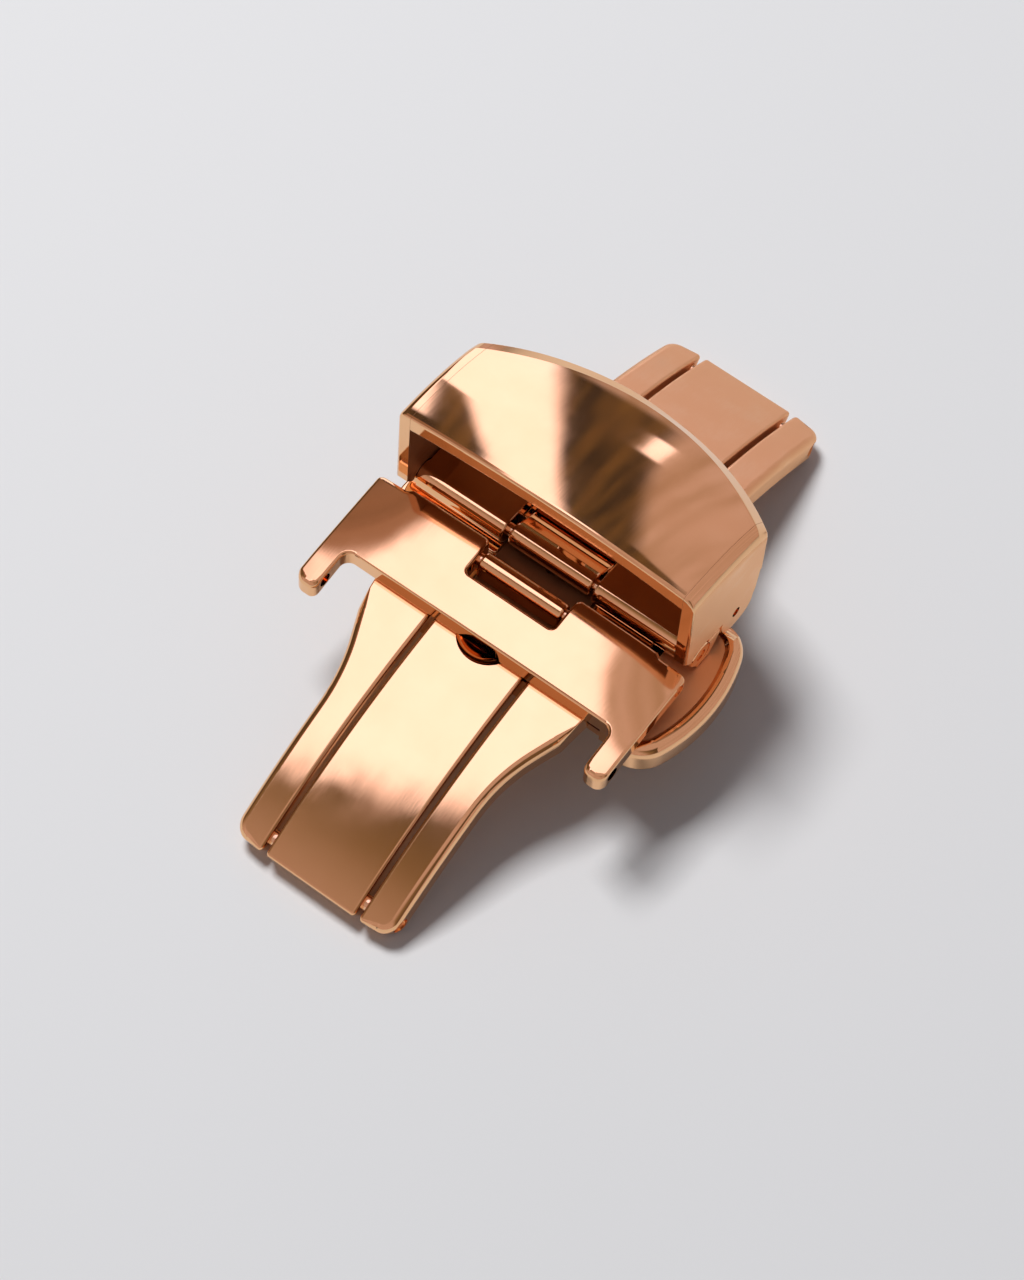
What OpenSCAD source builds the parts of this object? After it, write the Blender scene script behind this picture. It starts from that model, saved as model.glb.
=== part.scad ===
// Butterfly strap clasp, shown closed.
// X runs across the strap and Y along it. The lug plate is on the -Y side, the hood on the +Y side.
// Z is up. The origin is the middle of the whole footprint, and the two ends stand on z = 0.
// The push button is on the +X side only, so the strap's middle lies a little to the -X side.

/* [Strap] */
// Strap width between the two lugs, mm
strap_w = 18; // [17:0.5:20]
// Play of the strap inside the hood, each side, mm
strap_play = 0.15; // [0.1:0.05:0.3]

/* [Curved base] */
// Length of the closed clasp along the strap, mm
clasp_len = 41.7; // [39:0.1:44]
// Radius of the outer curve that follows the wrist, mm
arch_r = 39.6; // [36:0.2:46]
// Thickness of the curved strip and of the fork arms, mm
shell_t = 1.6; // [1.4:0.05:1.8]
// Width of the centre strip, mm
strip_w = 6.1; // [5.6:0.1:6.6]
// Gap between the strip and each fork arm, mm
slot_w = 0.3; // [0.2:0.05:0.4]

/* [Fork arms] */
// Width of one arm at its narrow end, mm
arm_w = 2.15; // [2:0.05:2.5]
// How much wider each arm gets near the plates, mm
flare_w = 1.4; // [1:0.1:1.8]
// Distance of the flare's shoulder from the middle, mm
flare_y = 7.75; // [7.4:0.05:8.2]
// Sideways growth of the flare for each mm of length, mm
flare_slope = 0.37; // [0.3:0.01:0.42]
// Radius that eases the flare into the straight arm, mm
flare_ease_r = 10.5; // [8:0.5:12]
// How much wider each arm still gets from the shoulder to the plate, mm
root_w = 0.3; // [0.1:0.05:0.35]
// Plan radius of the outer corners at the ends, mm
end_corner_r = 0.95; // [0.4:0.05:1]

/* [Hinge pins] */
// Radius of the two end pins, mm
end_pin_r = 0.47; // [0.4:0.01:0.5]
// Metal left beyond each end pin's axis, mm
end_margin = 0.95; // [0.9:0.05:1.2]
// Radius of the two cross pins under the plates, mm
cross_pin_r = 0.38; // [0.32:0.01:0.4]
// Radius of the two short hood pins, mm
hood_pin_r = 0.33; // [0.28:0.01:0.36]
// Running clearance around a pin, mm
run_gap = 0.03; // [0.02:0.005:0.05]
// How far a pin's end sits inside its hole, mm
pin_recess = 0.3; // [0.2:0.05:0.4]

/* [Lug plate] */
// Thickness of the lug plate, mm
plate_t = 1.22; // [1.15:0.01:1.35]
// Gap between the plates and the arms below, mm
plate_gap = 0.08; // [0.05:0.01:0.12]
// Front wall of the lug plate, distance from the middle, mm
plate_wall_y = 5.95; // [5.6:0.05:6.2]
// Hinged edge of the lug plate, distance from the middle, mm
plate_back_y = 1.0; // [0.95:0.05:1.1]
// Tip of the lugs, distance from the middle, mm
lug_tip_y = 8.85; // [8.6:0.05:9.2]
// Width of one lug, mm
lug_w = 1.4; // [1.2:0.05:1.6]
// Play of the strap between the lugs, each side, mm
lug_play = 0.1; // [0.05:0.05:0.2]
// Radius of the spring bar holes in the lugs, mm
bar_hole_r = 0.42; // [0.38:0.01:0.45]
// Distance of the spring bar holes from the middle, mm
bar_hole_y = 7.85; // [7.6:0.05:8]
// Height of the spring bar holes above the middle of the lug's thickness, mm
bar_hole_rise = 0.05; // [0:0.01:0.08]
// Half width of the notch for the front knuckle, mm
notch_hw = 2.98; // [2.9:0.02:3.1]
// How deep the notch reaches into the plate, mm
notch_depth = 2.25; // [2.1:0.05:2.5]

/* [Knuckles] */
// Front knuckle axis, distance from the middle, mm
front_knuckle_y = 1.8; // [1.75:0.05:1.9]
// Rear knuckle axis, distance from the middle, mm
rear_knuckle_y = 1.15; // [1.1:0.05:1.25]
// Height of the rear knuckle axis above the crown, mm
rear_knuckle_z = -0.05; // [-0.1:0.01:0]
// Half length of both knuckles, mm
knuckle_hw = 2.8; // [2.6:0.05:2.85]
// Radius of the front knuckle, mm
front_knuckle_r = 0.6; // [0.55:0.01:0.62]
// Radius of the rear knuckle, mm
rear_knuckle_r = 0.72; // [0.66:0.01:0.76]

/* [Hood] */
// Height of the hood's front edge above the crown, in the middle, mm
hood_top = 7.7; // [7:0.1:8.4]
// How much the hood's top is crowned across the strap, mm
hood_crown = 0.95; // [0.5:0.05:1.2]
// Radius of the hood's top along the strap, mm
hood_bend_r = 20; // [18:0.5:26]
// Radius of the hood's upper side edges, mm
hood_edge_r = 1.2; // [0.8:0.1:1.6]
// Thickness of the hood's side walls, mm
hood_wall = 0.8; // [0.7:0.05:0.9]
// Thickness of the hood's top, mm
hood_roof = 1.1; // [0.9:0.05:1.3]
// Distance of the hood's front edge behind the middle, mm
hood_front_y = -0.4; // [-0.5:0.05:-0.3]
// Where the hood's side walls end at the back, mm
hood_side_y = 6.7; // [6.4:0.05:7.2]
// How far the back edge bows out beyond the side walls, mm
hood_bow = 3.6; // [3:0.1:3.9]
// Height of the bevel along the bowed back edge, mm
hood_bevel = 0.5; // [0.4:0.05:0.8]
// Hood pin axis, distance from the middle, mm
hood_pin_y = 4.46; // [4.3:0.02:4.6]
// Height of the hood pin axis above the crown, mm
hood_pin_z = 0.21; // [0.18:0.01:0.26]
// Radius of the round lobe that carries the hood pin, mm
hood_lobe_r = 1.45; // [1.3:0.05:1.5]
// Radius of the hood's lower back corners, mm
hood_heel_r = 1.15; // [1:0.05:1.3]
// How far the hood flips up, degrees
hood_flip = 41; // [38:0.5:42]

/* [Hood floor] */
// Thickness of the hood floor, mm
floor_t = 0.72; // [0.65:0.01:0.8]
// Radius of the floor's rounded front edge and ears, mm
floor_ear_r = 0.85; // [0.82:0.01:0.88]
// Where the floor ends at the back, mm
floor_back_y = 5.7; // [5.6:0.05:5.9]
// Radius of the strap post, mm
post_r = 0.9; // [0.7:0.05:1]
// Height of the strap post above the floor, mm
post_h = 2.2; // [1.8:0.1:2.6]

/* [Push button and lock] */
// Radius of the D shaped button's outer rim, mm
button_r = 10.5; // [10:0.1:12]
// Plan radius of the D's two outer corners, mm
button_corner_r = 2.2; // [1.8:0.1:2.4]
// How far the button stands out beyond the lug plate, mm
button_out = 1.75; // [1.6:0.05:2]
// Height of the button, mm
button_h = 1.8; // [1.6:0.05:2]
// Depth of the button's top below the crown, mm
button_drop = 0.95; // [0.9:0.05:1.05]
// Middle of the button along the strap, mm
button_y = -0.7; // [-0.9:0.05:-0.5]
// Width of the raised rim on the button's top, mm
button_rim = 1.05; // [0.9:0.05:1.15]
// Radius that rounds the rim's outer edge, mm
button_round = 0.6; // [0.4:0.05:0.7]
// How far the button's face lies below its rim, mm
button_recess = 0.28; // [0.2:0.02:0.4]
// Half length of the button along the strap, mm
button_half = 5.15; // [5:0.05:5.3]
// How far the button travels when it is pressed, mm
button_travel = 0.55; // [0.5:0.05:0.6]

/* [Hidden] */
$fn = 96;
strip_hw = strip_w / 2;
arm_in = strip_hw + slot_w;
arm_hw = arm_in + arm_w;
flare_hw = arm_hw + flare_w;
root_hw = flare_hw + root_w;
end_ang = asin(clasp_len / 2 / arch_r);
inner_r = arch_r - shell_t;
crown_z = arch_r - inner_r * cos(end_ang);
arch_zc = crown_z - arch_r;
end_pin_pos = arch_r - shell_t / 2;
end_pin_ang = end_ang - end_margin / end_pin_pos * 180 / PI;
end_pin_y = end_pin_pos * sin(end_pin_ang);
end_pin_z = arch_zc + end_pin_pos * cos(end_pin_ang);
flare_v_y = flare_y + flare_w / flare_slope;
flare_a = atan(flare_slope);
flare_t = flare_ease_r * tan(flare_a / 2);
// The arms' sides run straight again from just in front of the plates.
root_y = plate_wall_y - 0.25;
// The rounds of the plan meet their lines at a slight angle instead of just touching them.
flare_lead = 0.03;
end_corner_lead = 0.05;

plate_in_r = arch_r + plate_gap;
plate_out_r = plate_in_r + plate_t;
plate_mid_r = plate_in_r + plate_t / 2;
lug_in = strap_w / 2 + lug_play;
plate_hw = lug_in + lug_w;
front_knuckle_z = arch_zc + sqrt(pow(plate_mid_r, 2) - pow(front_knuckle_y, 2));
bar_hole_z = arch_zc + sqrt(pow(plate_mid_r, 2) - pow(bar_hole_y, 2)) + bar_hole_rise;
rear_axis_z = crown_z + rear_knuckle_z;

well_z = crown_z - 1.1;
bridge_lo = crown_z - 0.95;
bridge_hi = crown_z - 0.25;
front_tip_y = 3.05;
front_bridge_y = 4.1;
rear_tip_y = 2.4;
rear_bridge_y = 4.2;
well_play = 0.5;

hood_in = strap_w / 2 + strap_play;
hood_hw = hood_in + hood_wall;
hood_z = crown_z + hood_top;
hood_cz = hood_z - hood_bend_r;
crown_r = (pow(hood_hw, 2) + pow(hood_crown, 2)) / (2 * hood_crown);
roof_crown = hood_crown * 0.65;
roof_crown_r = (pow(hood_in, 2) + pow(roof_crown, 2)) / (2 * roof_crown);
bow_r = (pow(hood_hw, 2) + pow(hood_bow, 2)) / (2 * hood_bow);
bow_y = hood_side_y + hood_bow - bow_r;
apex_y = hood_side_y + hood_bow;
apex_z = hood_cz + sqrt(pow(hood_bend_r, 2) - pow(apex_y - hood_front_y, 2));
side_z = hood_cz + sqrt(pow(hood_bend_r - hood_crown, 2) - pow(hood_side_y - hood_front_y, 2));
// The bevel is a cone about an upright axis far in front, so its foot rises with the top's edge.
bevel_rise = side_z - apex_z;
bevel_d = (pow(hood_hw, 2) + pow(hood_bow, 2) - pow(bevel_rise, 2)) / (2 * (hood_bow - bevel_rise));
hood_axis_z = crown_z + hood_pin_z;
ear_play = 0.08;
heel_y = 6.2;
heel_dy = heel_y - hood_heel_r - hood_pin_y;
heel_dz = hood_heel_r - hood_lobe_r;
swung_y = hood_pin_y + heel_dy * cos(hood_flip) + heel_dz * sin(hood_flip);
swung_z = hood_axis_z - heel_dy * sin(hood_flip) + heel_dz * cos(hood_flip);

floor_lo = crown_z + plate_gap;
floor_hi = floor_lo + floor_t;
floor_hw = hood_in - strap_play;
cheek_in = root_hw + 0.25;
cheek_lo = crown_z - 0.4;
cheek_hi = crown_z + 0.42;
cheek_y = hood_pin_y - hood_lobe_r - ear_play;
floor_notch_hw = knuckle_hw + 0.3;
floor_notch_y = 2.9;

button_top = crown_z - button_drop;
button_lo = button_top - button_h;
button_face = plate_hw + button_out;
button_cx = button_face - button_r;
button_in = root_hw + button_travel + 0.15;
mid_x = (plate_hw - button_face) / 2;
cheek_foot = button_top - button_recess + 0.1;
bar_hi = crown_z - 3.2;
bar_t = 0.55;
bar_lo = bar_hi - bar_t;
bar_in = 3.0;
bar_out = button_in + 1.5;
hook_face = 5.0;
hook_gap = 0.05;
hook_lo = crown_z - 2.45;
hook_hi = crown_z - 2.1;
tooth_lo = crown_z - 2.95;
tooth_hi = crown_z - 2.55;
striker_out = flare_hw - 0.15;
striker_in = hook_face + hook_gap + 0.4;
lock_front = [-4.3, -3.15];
lock_rear = [2.55, 3.75];
tray_lo = bar_lo - 0.6;
tray_hi = bar_lo - 0.1;
tray_y = [-5.15, 4.65];
tray_wall = 0.5;
tray_top = crown_z - 2.25;
tray_hw = flare_hw - 0.55;
pillar_hw = bar_in - button_travel - 0.1;
tray_left = -pillar_hw - 0.5;
rivet_r = 0.5;

// Rose gold for the polished pieces, a paler tone for pins and rivets.
gold = [0.86, 0.6, 0.42];
pale = [0.82, 0.66, 0.52];

// Puts a sub-part, drawn about the strap's middle, in its place over the footprint.
module placed() {
    translate([mid_x, 0, 0]) children();
}

// Turns a (y, z) drawing so that it extrudes along X.
module along_x() {
    rotate([90, 0, 90]) children();
}

// A (y, z) drawing extruded from x0 to x1.
module prism_x(x0, x1) {
    translate([x0, 0, 0]) along_x() linear_extrude(height = x1 - x0) children();
}

// A bar of round section along X.
module rod_x(r, x0, x1, y, z) {
    translate([x0, y, z]) along_x() cylinder(r = r, h = x1 - x0);
}

// A curved slab about the wrist axis, from angle a0 to a1 measured from the top.
module arch(r0, r1, a0, a1, x0, x1) {
    translate([0, 0, arch_zc]) along_x()
        rotate_extrude(angle = a1 - a0, start = 90 - a1)
            translate([r0, x0]) square([r1 - r0, x1 - x0]);
}

// A corner of radius r to be cut off, its point at the origin, the body towards -x and -y.
module corner_cut(r) {
    translate([-r, -r]) difference() {
        square([2 * r, 2 * r]);
        circle(r = r);
    }
}

// Plan of the right arm on the +Y side, from its tip outwards.
module arm_plan(tip_y) {
    far = clasp_len / 2;
    difference() {
        union() {
            polygon([[arm_in, tip_y], [root_hw, tip_y], [root_hw, root_y], [flare_hw, flare_y],
                [arm_hw + flare_t * sin(flare_a) + flare_lead, flare_v_y - flare_t * cos(flare_a)],
                [arm_hw + flare_t * sin(flare_a), flare_v_y + flare_t],
                [arm_hw, flare_v_y + flare_t], [arm_hw, far + 1], [arm_in, far + 1]]);
        }
        translate([arm_hw + flare_ease_r, flare_v_y + flare_t]) circle(r = flare_ease_r);
        translate([arm_hw, far + end_corner_lead]) corner_cut(end_corner_r);
    }
}

// Both arms on the +Y side with their end pin holes.
module arm_pair(tip_y) {
    difference() {
        intersection() {
            arch(inner_r, arch_r, 0, end_ang, -root_hw - 1, root_hw + 1);
            union() {
                linear_extrude(height = crown_z + 1) arm_plan(tip_y);
                mirror([1, 0, 0]) linear_extrude(height = crown_z + 1) arm_plan(tip_y);
            }
        }
        rod_x(end_pin_r + run_gap, -arm_hw - 1, arm_hw + 1, end_pin_y, end_pin_z);
    }
}

// The catch under a right arm, between the two given y values: a block with a tooth at its foot.
module catch_block(span) {
    intersection() {
        union() {
            translate([striker_in, span[0], tooth_lo])
                cube([striker_out - striker_in, span[1] - span[0], crown_z - tooth_lo]);
            translate([hook_face + hook_gap, span[0], tooth_lo])
                cube([striker_in + 0.1 - hook_face - hook_gap, span[1] - span[0], tooth_hi - tooth_lo]);
        }
        arch(10, inner_r, -20, 20, 0, flare_hw);
    }
}

module base_strip() {
    color(gold) placed() difference() {
        arch(inner_r, arch_r, -end_ang, end_ang, -strip_hw, strip_hw);
        translate([-strip_hw - 1, -front_bridge_y - well_play, well_z])
            cube([strip_w + 2, front_bridge_y + rear_bridge_y + 2 * well_play, 5]);
        translate([0, -plate_wall_y + 0.9, crown_z - 1.3]) cylinder(r = 1.9, h = 5);
        for (s = [-1, 1])
            rod_x(end_pin_r, -strip_hw - 1, strip_hw + 1, s * end_pin_y, end_pin_z);
        for (y = [-1.2, 1.2])
            translate([0, y, 0]) cylinder(r = rivet_r, h = crown_z);
    }
}

module lock_housing() {
    color(gold) placed() difference() {
        union() {
            translate([tray_left, tray_y[0], tray_lo])
                cube([tray_hw - tray_left, tray_y[1] - tray_y[0], tray_hi - tray_lo]);
            for (y = [tray_y[0], tray_y[1] - tray_wall])
                translate([tray_left, y, tray_lo])
                    cube([tray_hw - tray_left, tray_wall, tray_top - tray_lo]);
            intersection() {
                translate([-pillar_hw, -2.6, tray_lo]) cube([2 * pillar_hw, 4.6, crown_z - tray_lo]);
                arch(10, inner_r - 0.01, -20, 20, -pillar_hw, pillar_hw);
            }
        }
        for (y = [-1.2, 1.2])
            translate([0, y, tray_lo - 1]) cylinder(r = rivet_r, h = 10);
    }
}

module housing_rivets() {
    color(pale) placed() for (y = [-1.2, 1.2])
        translate([0, y, tray_lo]) cylinder(r = rivet_r, h = well_z - tray_lo);
}

module front_hinge_pin() {
    color(pale) placed() rod_x(end_pin_r, -arm_hw + pin_recess, arm_hw - pin_recess, -end_pin_y, end_pin_z);
}

module rear_hinge_pin() {
    color(pale) placed() rod_x(end_pin_r, -arm_hw + pin_recess, arm_hw - pin_recess, end_pin_y, end_pin_z);
}

module front_fork() {
    color(gold) placed() difference() {
        union() {
            mirror([0, 1, 0]) arm_pair(front_tip_y);
            prism_x(-arm_in - 0.5, arm_in + 0.5)
                polygon([[-front_bridge_y, bridge_lo], [-front_tip_y, bridge_lo],
                    [-front_tip_y, bridge_hi], [-front_bridge_y, bridge_hi]]);
            prism_x(-knuckle_hw, knuckle_hw) union() {
                translate([-front_knuckle_y, front_knuckle_z]) circle(r = front_knuckle_r);
                polygon([[-front_bridge_y + 0.3, bridge_lo],
                    [-front_knuckle_y + front_knuckle_r * 0.6, bridge_lo],
                    [-front_knuckle_y + front_knuckle_r, front_knuckle_z - 0.3],
                    [-front_knuckle_y + front_knuckle_r * 0.6, front_knuckle_z],
                    [-front_knuckle_y - front_knuckle_r * 0.6, front_knuckle_z],
                    [-front_knuckle_y - front_knuckle_r * 1.2, bridge_hi],
                    [-front_bridge_y + 0.3, bridge_hi]]);
            }
        }
        rod_x(cross_pin_r + run_gap, -knuckle_hw - 1, knuckle_hw + 1, -front_knuckle_y, front_knuckle_z);
    }
}

module front_catches() {
    color(gold) placed() catch_block(lock_front);
}

module rear_catches() {
    color(gold) placed() catch_block(lock_rear);
}

module lug_plan() {
    difference() {
        union() {
            translate([-plate_hw, -plate_wall_y]) square([2 * plate_hw, plate_wall_y - plate_back_y]);
            for (s = [-1, 1]) {
                translate([s * (plate_hw + lug_in) / 2 - lug_w / 2, -lug_tip_y])
                    square([lug_w, lug_tip_y - plate_wall_y + 1]);
                translate([s * lug_in, -plate_wall_y]) rotate(s > 0 ? -90 : 180) difference() {
                    translate([-0.01, -0.6]) square([0.61, 0.61]);
                    translate([0.6, -0.6]) circle(r = 0.6);
                }
            }
        }
        translate([-notch_hw, -plate_back_y - notch_depth]) square([2 * notch_hw, notch_depth + 1]);
        for (s = [-1, 1]) {
            translate([s * plate_hw, -lug_tip_y]) mirror([s < 0 ? 1 : 0, 0]) mirror([0, 1])
                corner_cut(0.65);
            translate([s * lug_in, -lug_tip_y]) mirror([s > 0 ? 1 : 0, 0]) mirror([0, 1])
                corner_cut(0.45);
            translate([s * plate_hw, -plate_back_y]) mirror([s < 0 ? 1 : 0, 0]) corner_cut(0.3);
        }
    }
}

module lug_plate() {
    color(gold) placed() difference() {
        intersection() {
            arch(plate_in_r, plate_out_r, -20, 2, -plate_hw - 1, plate_hw + 1);
            linear_extrude(height = crown_z + 4) lug_plan();
        }
        rod_x(cross_pin_r, -plate_hw - 1, plate_hw + 1, -front_knuckle_y, front_knuckle_z);
        rod_x(bar_hole_r, -plate_hw - 1, plate_hw + 1, -bar_hole_y, bar_hole_z);
    }
}

module front_cross_pin() {
    half = plate_hw - pin_recess / 2;
    color(pale) placed() rod_x(cross_pin_r, -half, half, -front_knuckle_y, front_knuckle_z);
}

module rear_fork() {
    color(gold) placed() difference() {
        union() {
            arm_pair(rear_tip_y);
            prism_x(-arm_in - 0.5, arm_in + 0.5)
                polygon([[rear_bridge_y, bridge_lo], [rear_tip_y, bridge_lo],
                    [rear_tip_y, bridge_hi], [rear_bridge_y, bridge_hi]]);
            prism_x(-knuckle_hw, knuckle_hw) union() {
                translate([rear_knuckle_y, rear_axis_z]) circle(r = rear_knuckle_r);
                polygon([[rear_bridge_y - 0.3, bridge_lo], [rear_knuckle_y + 0.3, bridge_lo + 0.25],
                    [rear_knuckle_y, rear_axis_z], [rear_knuckle_y + 0.3, rear_axis_z + 0.5],
                    [rear_bridge_y - 0.9, bridge_hi], [rear_bridge_y - 0.3, bridge_hi]]);
            }
        }
        rod_x(cross_pin_r + run_gap, -knuckle_hw - 1, knuckle_hw + 1, rear_knuckle_y, rear_axis_z);
    }
}

module hood_floor() {
    color(gold) placed() difference() {
        union() {
            prism_x(-floor_hw, floor_hw)
                polygon([[rear_knuckle_y, floor_lo], [floor_back_y, floor_lo],
                    [floor_back_y, floor_hi], [rear_knuckle_y, floor_hi]]);
            rod_x(floor_ear_r, -hood_hw, hood_hw, rear_knuckle_y, rear_axis_z);
        }
        translate([-floor_notch_hw, -1, 0]) cube([2 * floor_notch_hw, floor_notch_y + 1, 2 * crown_z]);
        rod_x(cross_pin_r, -hood_hw - 1, hood_hw + 1, rear_knuckle_y, rear_axis_z);
        cheek_bores();
        translate([0, hood_pin_y, floor_lo - 1]) cylinder(r = post_r * 0.6, h = 3);
    }
}

// The two holes for the hood pins, through the floor's side edges and the cheeks.
module cheek_bores() {
    for (s = [-1, 1]) {
        x_lo = min(s * (cheek_in - 1), s * (floor_hw + 1));
        rod_x(hood_pin_r + run_gap, x_lo, x_lo + floor_hw - cheek_in + 2, hood_pin_y, hood_axis_z);
    }
}

// The cheeks: a rib under each side edge of the floor, and an outer pad behind and below the ear
// that reaches down to the button's face.
module floor_cheeks() {
    color(gold) placed() difference() {
        for (s = [-1, 1])
            mirror([s < 0 ? 1 : 0, 0, 0]) {
                translate([cheek_in, rear_knuckle_y, cheek_lo])
                    cube([floor_hw - cheek_in, floor_back_y - rear_knuckle_y, floor_lo - cheek_lo]);
                prism_x(floor_hw - 0.5, hood_hw)
                    polygon([[rear_knuckle_y - 0.25, cheek_foot], [rear_knuckle_y + 0.98, cheek_foot],
                        [cheek_y - 0.2, cheek_lo + 0.1], [cheek_y, floor_lo],
                        [rear_knuckle_y, floor_lo], [rear_knuckle_y - 0.25, cheek_lo]]);
                prism_x(floor_hw, hood_hw)
                    polygon([[rear_knuckle_y, cheek_lo], [cheek_y - 0.2, cheek_lo + 0.1],
                        [cheek_y, floor_lo], [cheek_y, cheek_hi], [rear_knuckle_y, cheek_hi]]);
            }
        rod_x(floor_ear_r, -hood_hw - 1, hood_hw + 1, rear_knuckle_y, rear_axis_z);
        cheek_bores();
    }
}

module rear_cross_pin() {
    half = hood_hw - pin_recess / 2;
    color(pale) placed() rod_x(cross_pin_r, -half, half, rear_knuckle_y, rear_axis_z);
}

module strap_post() {
    color(gold) placed() translate([0, hood_pin_y, 0]) union() {
        translate([0, 0, floor_lo]) cylinder(r = post_r * 0.6, h = floor_t + 0.5);
        translate([0, 0, floor_hi]) cylinder(r = post_r, h = post_h - post_r * 0.5);
        translate([0, 0, floor_hi + post_h - post_r * 0.5])
            cylinder(r1 = post_r, r2 = post_r * 0.6, h = post_r * 0.5);
    }
}

// Section of the hood across the strap: x is the distance from the bend axis, y runs across.
module hood_section() {
    mid = hood_bend_r - crown_r;
    edge_c = mid + sqrt(pow(crown_r - hood_edge_r, 2) - pow(hood_hw - hood_edge_r, 2));
    edge_t = (hood_hw - hood_edge_r) * crown_r / (crown_r - hood_edge_r);
    difference() {
        intersection() {
            translate([mid, 0]) circle(r = crown_r);
            translate([6, -hood_hw]) square([hood_bend_r, 2 * hood_hw]);
        }
        for (s = [-1, 1])
            mirror([0, s < 0 ? 1 : 0]) difference() {
                translate([edge_c, edge_t]) square([hood_edge_r * 2, hood_hw]);
                translate([edge_c, hood_hw - hood_edge_r]) circle(r = hood_edge_r);
            }
    }
}

module tunnel_section() {
    top = hood_bend_r - hood_roof;
    intersection() {
        translate([top - roof_crown_r, 0]) circle(r = roof_crown_r);
        translate([4, -hood_in]) square([hood_bend_r, 2 * hood_in]);
    }
}

// Outline of the hood seen from the side, with the round lobe for its pin and the heel behind it.
module hood_side() {
    wall_lo = cheek_hi + ear_play;
    heel_lo = hood_axis_z - hood_lobe_r;
    difference() {
        union() {
            polygon([[hood_front_y, crown_z + 0.8], [hood_front_y + 0.5, crown_z + 0.25],
                [rear_knuckle_y, crown_z + 0.25], [rear_knuckle_y, wall_lo],
                [heel_y + 0.2, wall_lo], [hood_side_y - 0.12, crown_z + 2], [apex_y + 1, crown_z + 3],
                [apex_y + 1, hood_z + 1], [hood_front_y, hood_z + 1]]);
            translate([hood_pin_y, hood_axis_z]) circle(r = hood_lobe_r);
            difference() {
                polygon([[hood_pin_y, heel_lo], [heel_y, heel_lo], [heel_y, crown_z - 0.4],
                    [heel_y + 0.2, wall_lo], [heel_y + 0.22, wall_lo + 0.2], [hood_pin_y, wall_lo + 0.2]]);
                translate([heel_y, heel_lo]) mirror([0, 1]) corner_cut(hood_heel_r);
            }
        }
        translate([rear_knuckle_y, rear_axis_z]) circle(r = floor_ear_r + ear_play);
    }
}

module hood() {
    foot_z = apex_z - hood_bevel;
    cone_r = bevel_d + 4;
    color(gold) placed() difference() {
        intersection() {
            difference() {
                translate([0, hood_front_y, hood_cz]) along_x()
                    rotate_extrude(angle = 75, start = 30) hood_section();
                translate([0, hood_front_y, hood_cz]) along_x()
                    rotate_extrude(angle = 85, start = 25) tunnel_section();
            }
            prism_x(-hood_hw - 1, hood_hw + 1) hood_side();
            translate([0, bow_y, 0]) cylinder(r = bow_r, h = hood_z + 1);
            translate([0, apex_y - bevel_d, 0]) rotate_extrude()
                polygon([[0, 0], [cone_r, 0], [cone_r, foot_z - 4],
                    [cone_r - 12, foot_z + 8], [0, foot_z + 8]]);
        }
        rod_x(hood_pin_r, -hood_hw - 1, hood_hw + 1, hood_pin_y, hood_axis_z);
    }
}

module hood_pins() {
    half = hood_hw - pin_recess;
    color(pale) placed() for (s = [-1, 1]) {
        x_lo = min(s * (cheek_in + 0.1), s * half);
        rod_x(hood_pin_r, x_lo, x_lo + half - cheek_in - 0.1, hood_pin_y, hood_axis_z);
    }
}

// Section of the button through the D's centre: a face with a raised rim that is rounded outside.
module button_section() {
    rim_in = button_r - button_rim;
    difference() {
        union() {
            square([rim_in, button_h - button_recess]);
            polygon([[rim_in - 1, 0], [button_r, 0], [button_r, button_h], [rim_in + 0.15, button_h],
                [rim_in, button_h - button_recess], [rim_in - 1, button_h - button_recess]]);
        }
        translate([button_r, button_h]) corner_cut(button_round);
    }
}

// The button: a D shaped cap and a block that reaches down to the slider.
module button_body() {
    lobe_clear = hood_lobe_r + 0.06;
    heel_clear = hood_heel_r + 0.06;
    difference() {
        union() {
            translate([button_cx, button_y, button_lo]) rotate_extrude() button_section();
            translate([button_in, -4.2, bar_hi])
                cube([1.5, 5.9, button_lo - bar_hi + 0.3]);
        }
        translate([button_cx - 2 * button_r, -2 * button_r, button_lo - 5])
            cube([button_in - button_cx + 2 * button_r, 4 * button_r, 10]);
        for (s = [-1, 1]) {
            y_lo = button_y + min(s * button_half, s * (button_half + 6));
            translate([button_in - 1, y_lo, button_lo - 1]) cube([button_r, 6, button_h + 2]);
        }
        translate([button_cx, button_y, button_lo - 1]) linear_extrude(height = button_h + 2)
            for (s = [-1, 1])
                mirror([0, s < 0 ? 1 : 0]) button_corner_cut();
        translate([0, 0, button_lo - 1]) linear_extrude(height = button_h + 2) button_front_cut();
        rod_x(lobe_clear, hood_in - 0.2, hood_hw + button_travel + 0.1, hood_pin_y, hood_axis_z);
        // Room for the hood's heel when the hood is flipped up.
        rod_x(heel_clear, hood_in - 0.2, hood_hw + button_travel + 0.1, swung_y, swung_z);
    }
}

// Rounds the end of the D where its flat end meets the outer circle.
module button_corner_cut() {
    c_x = sqrt(pow(button_r - button_corner_r, 2) - pow(button_half - button_corner_r, 2));
    c_y = button_half - button_corner_r;
    difference() {
        translate([c_x, c_y]) square([4, 4]);
        translate([c_x, c_y]) circle(r = button_corner_r);
        polygon([[0, 0], [2 * c_x, 2 * c_y], [20, 0]]);
    }
}

// Takes off the inner front corner, so that it stays under the lug plate.
module button_front_cut() {
    inner_y = -plate_wall_y + 0.7;
    end_y = button_y - button_half - 1;
    polygon([[button_in - 1, inner_y], [lug_in, inner_y], [lug_in + 0.5, inner_y - 0.9],
        [lug_in + 0.5, end_y], [button_in - 1, end_y]]);
}

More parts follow.
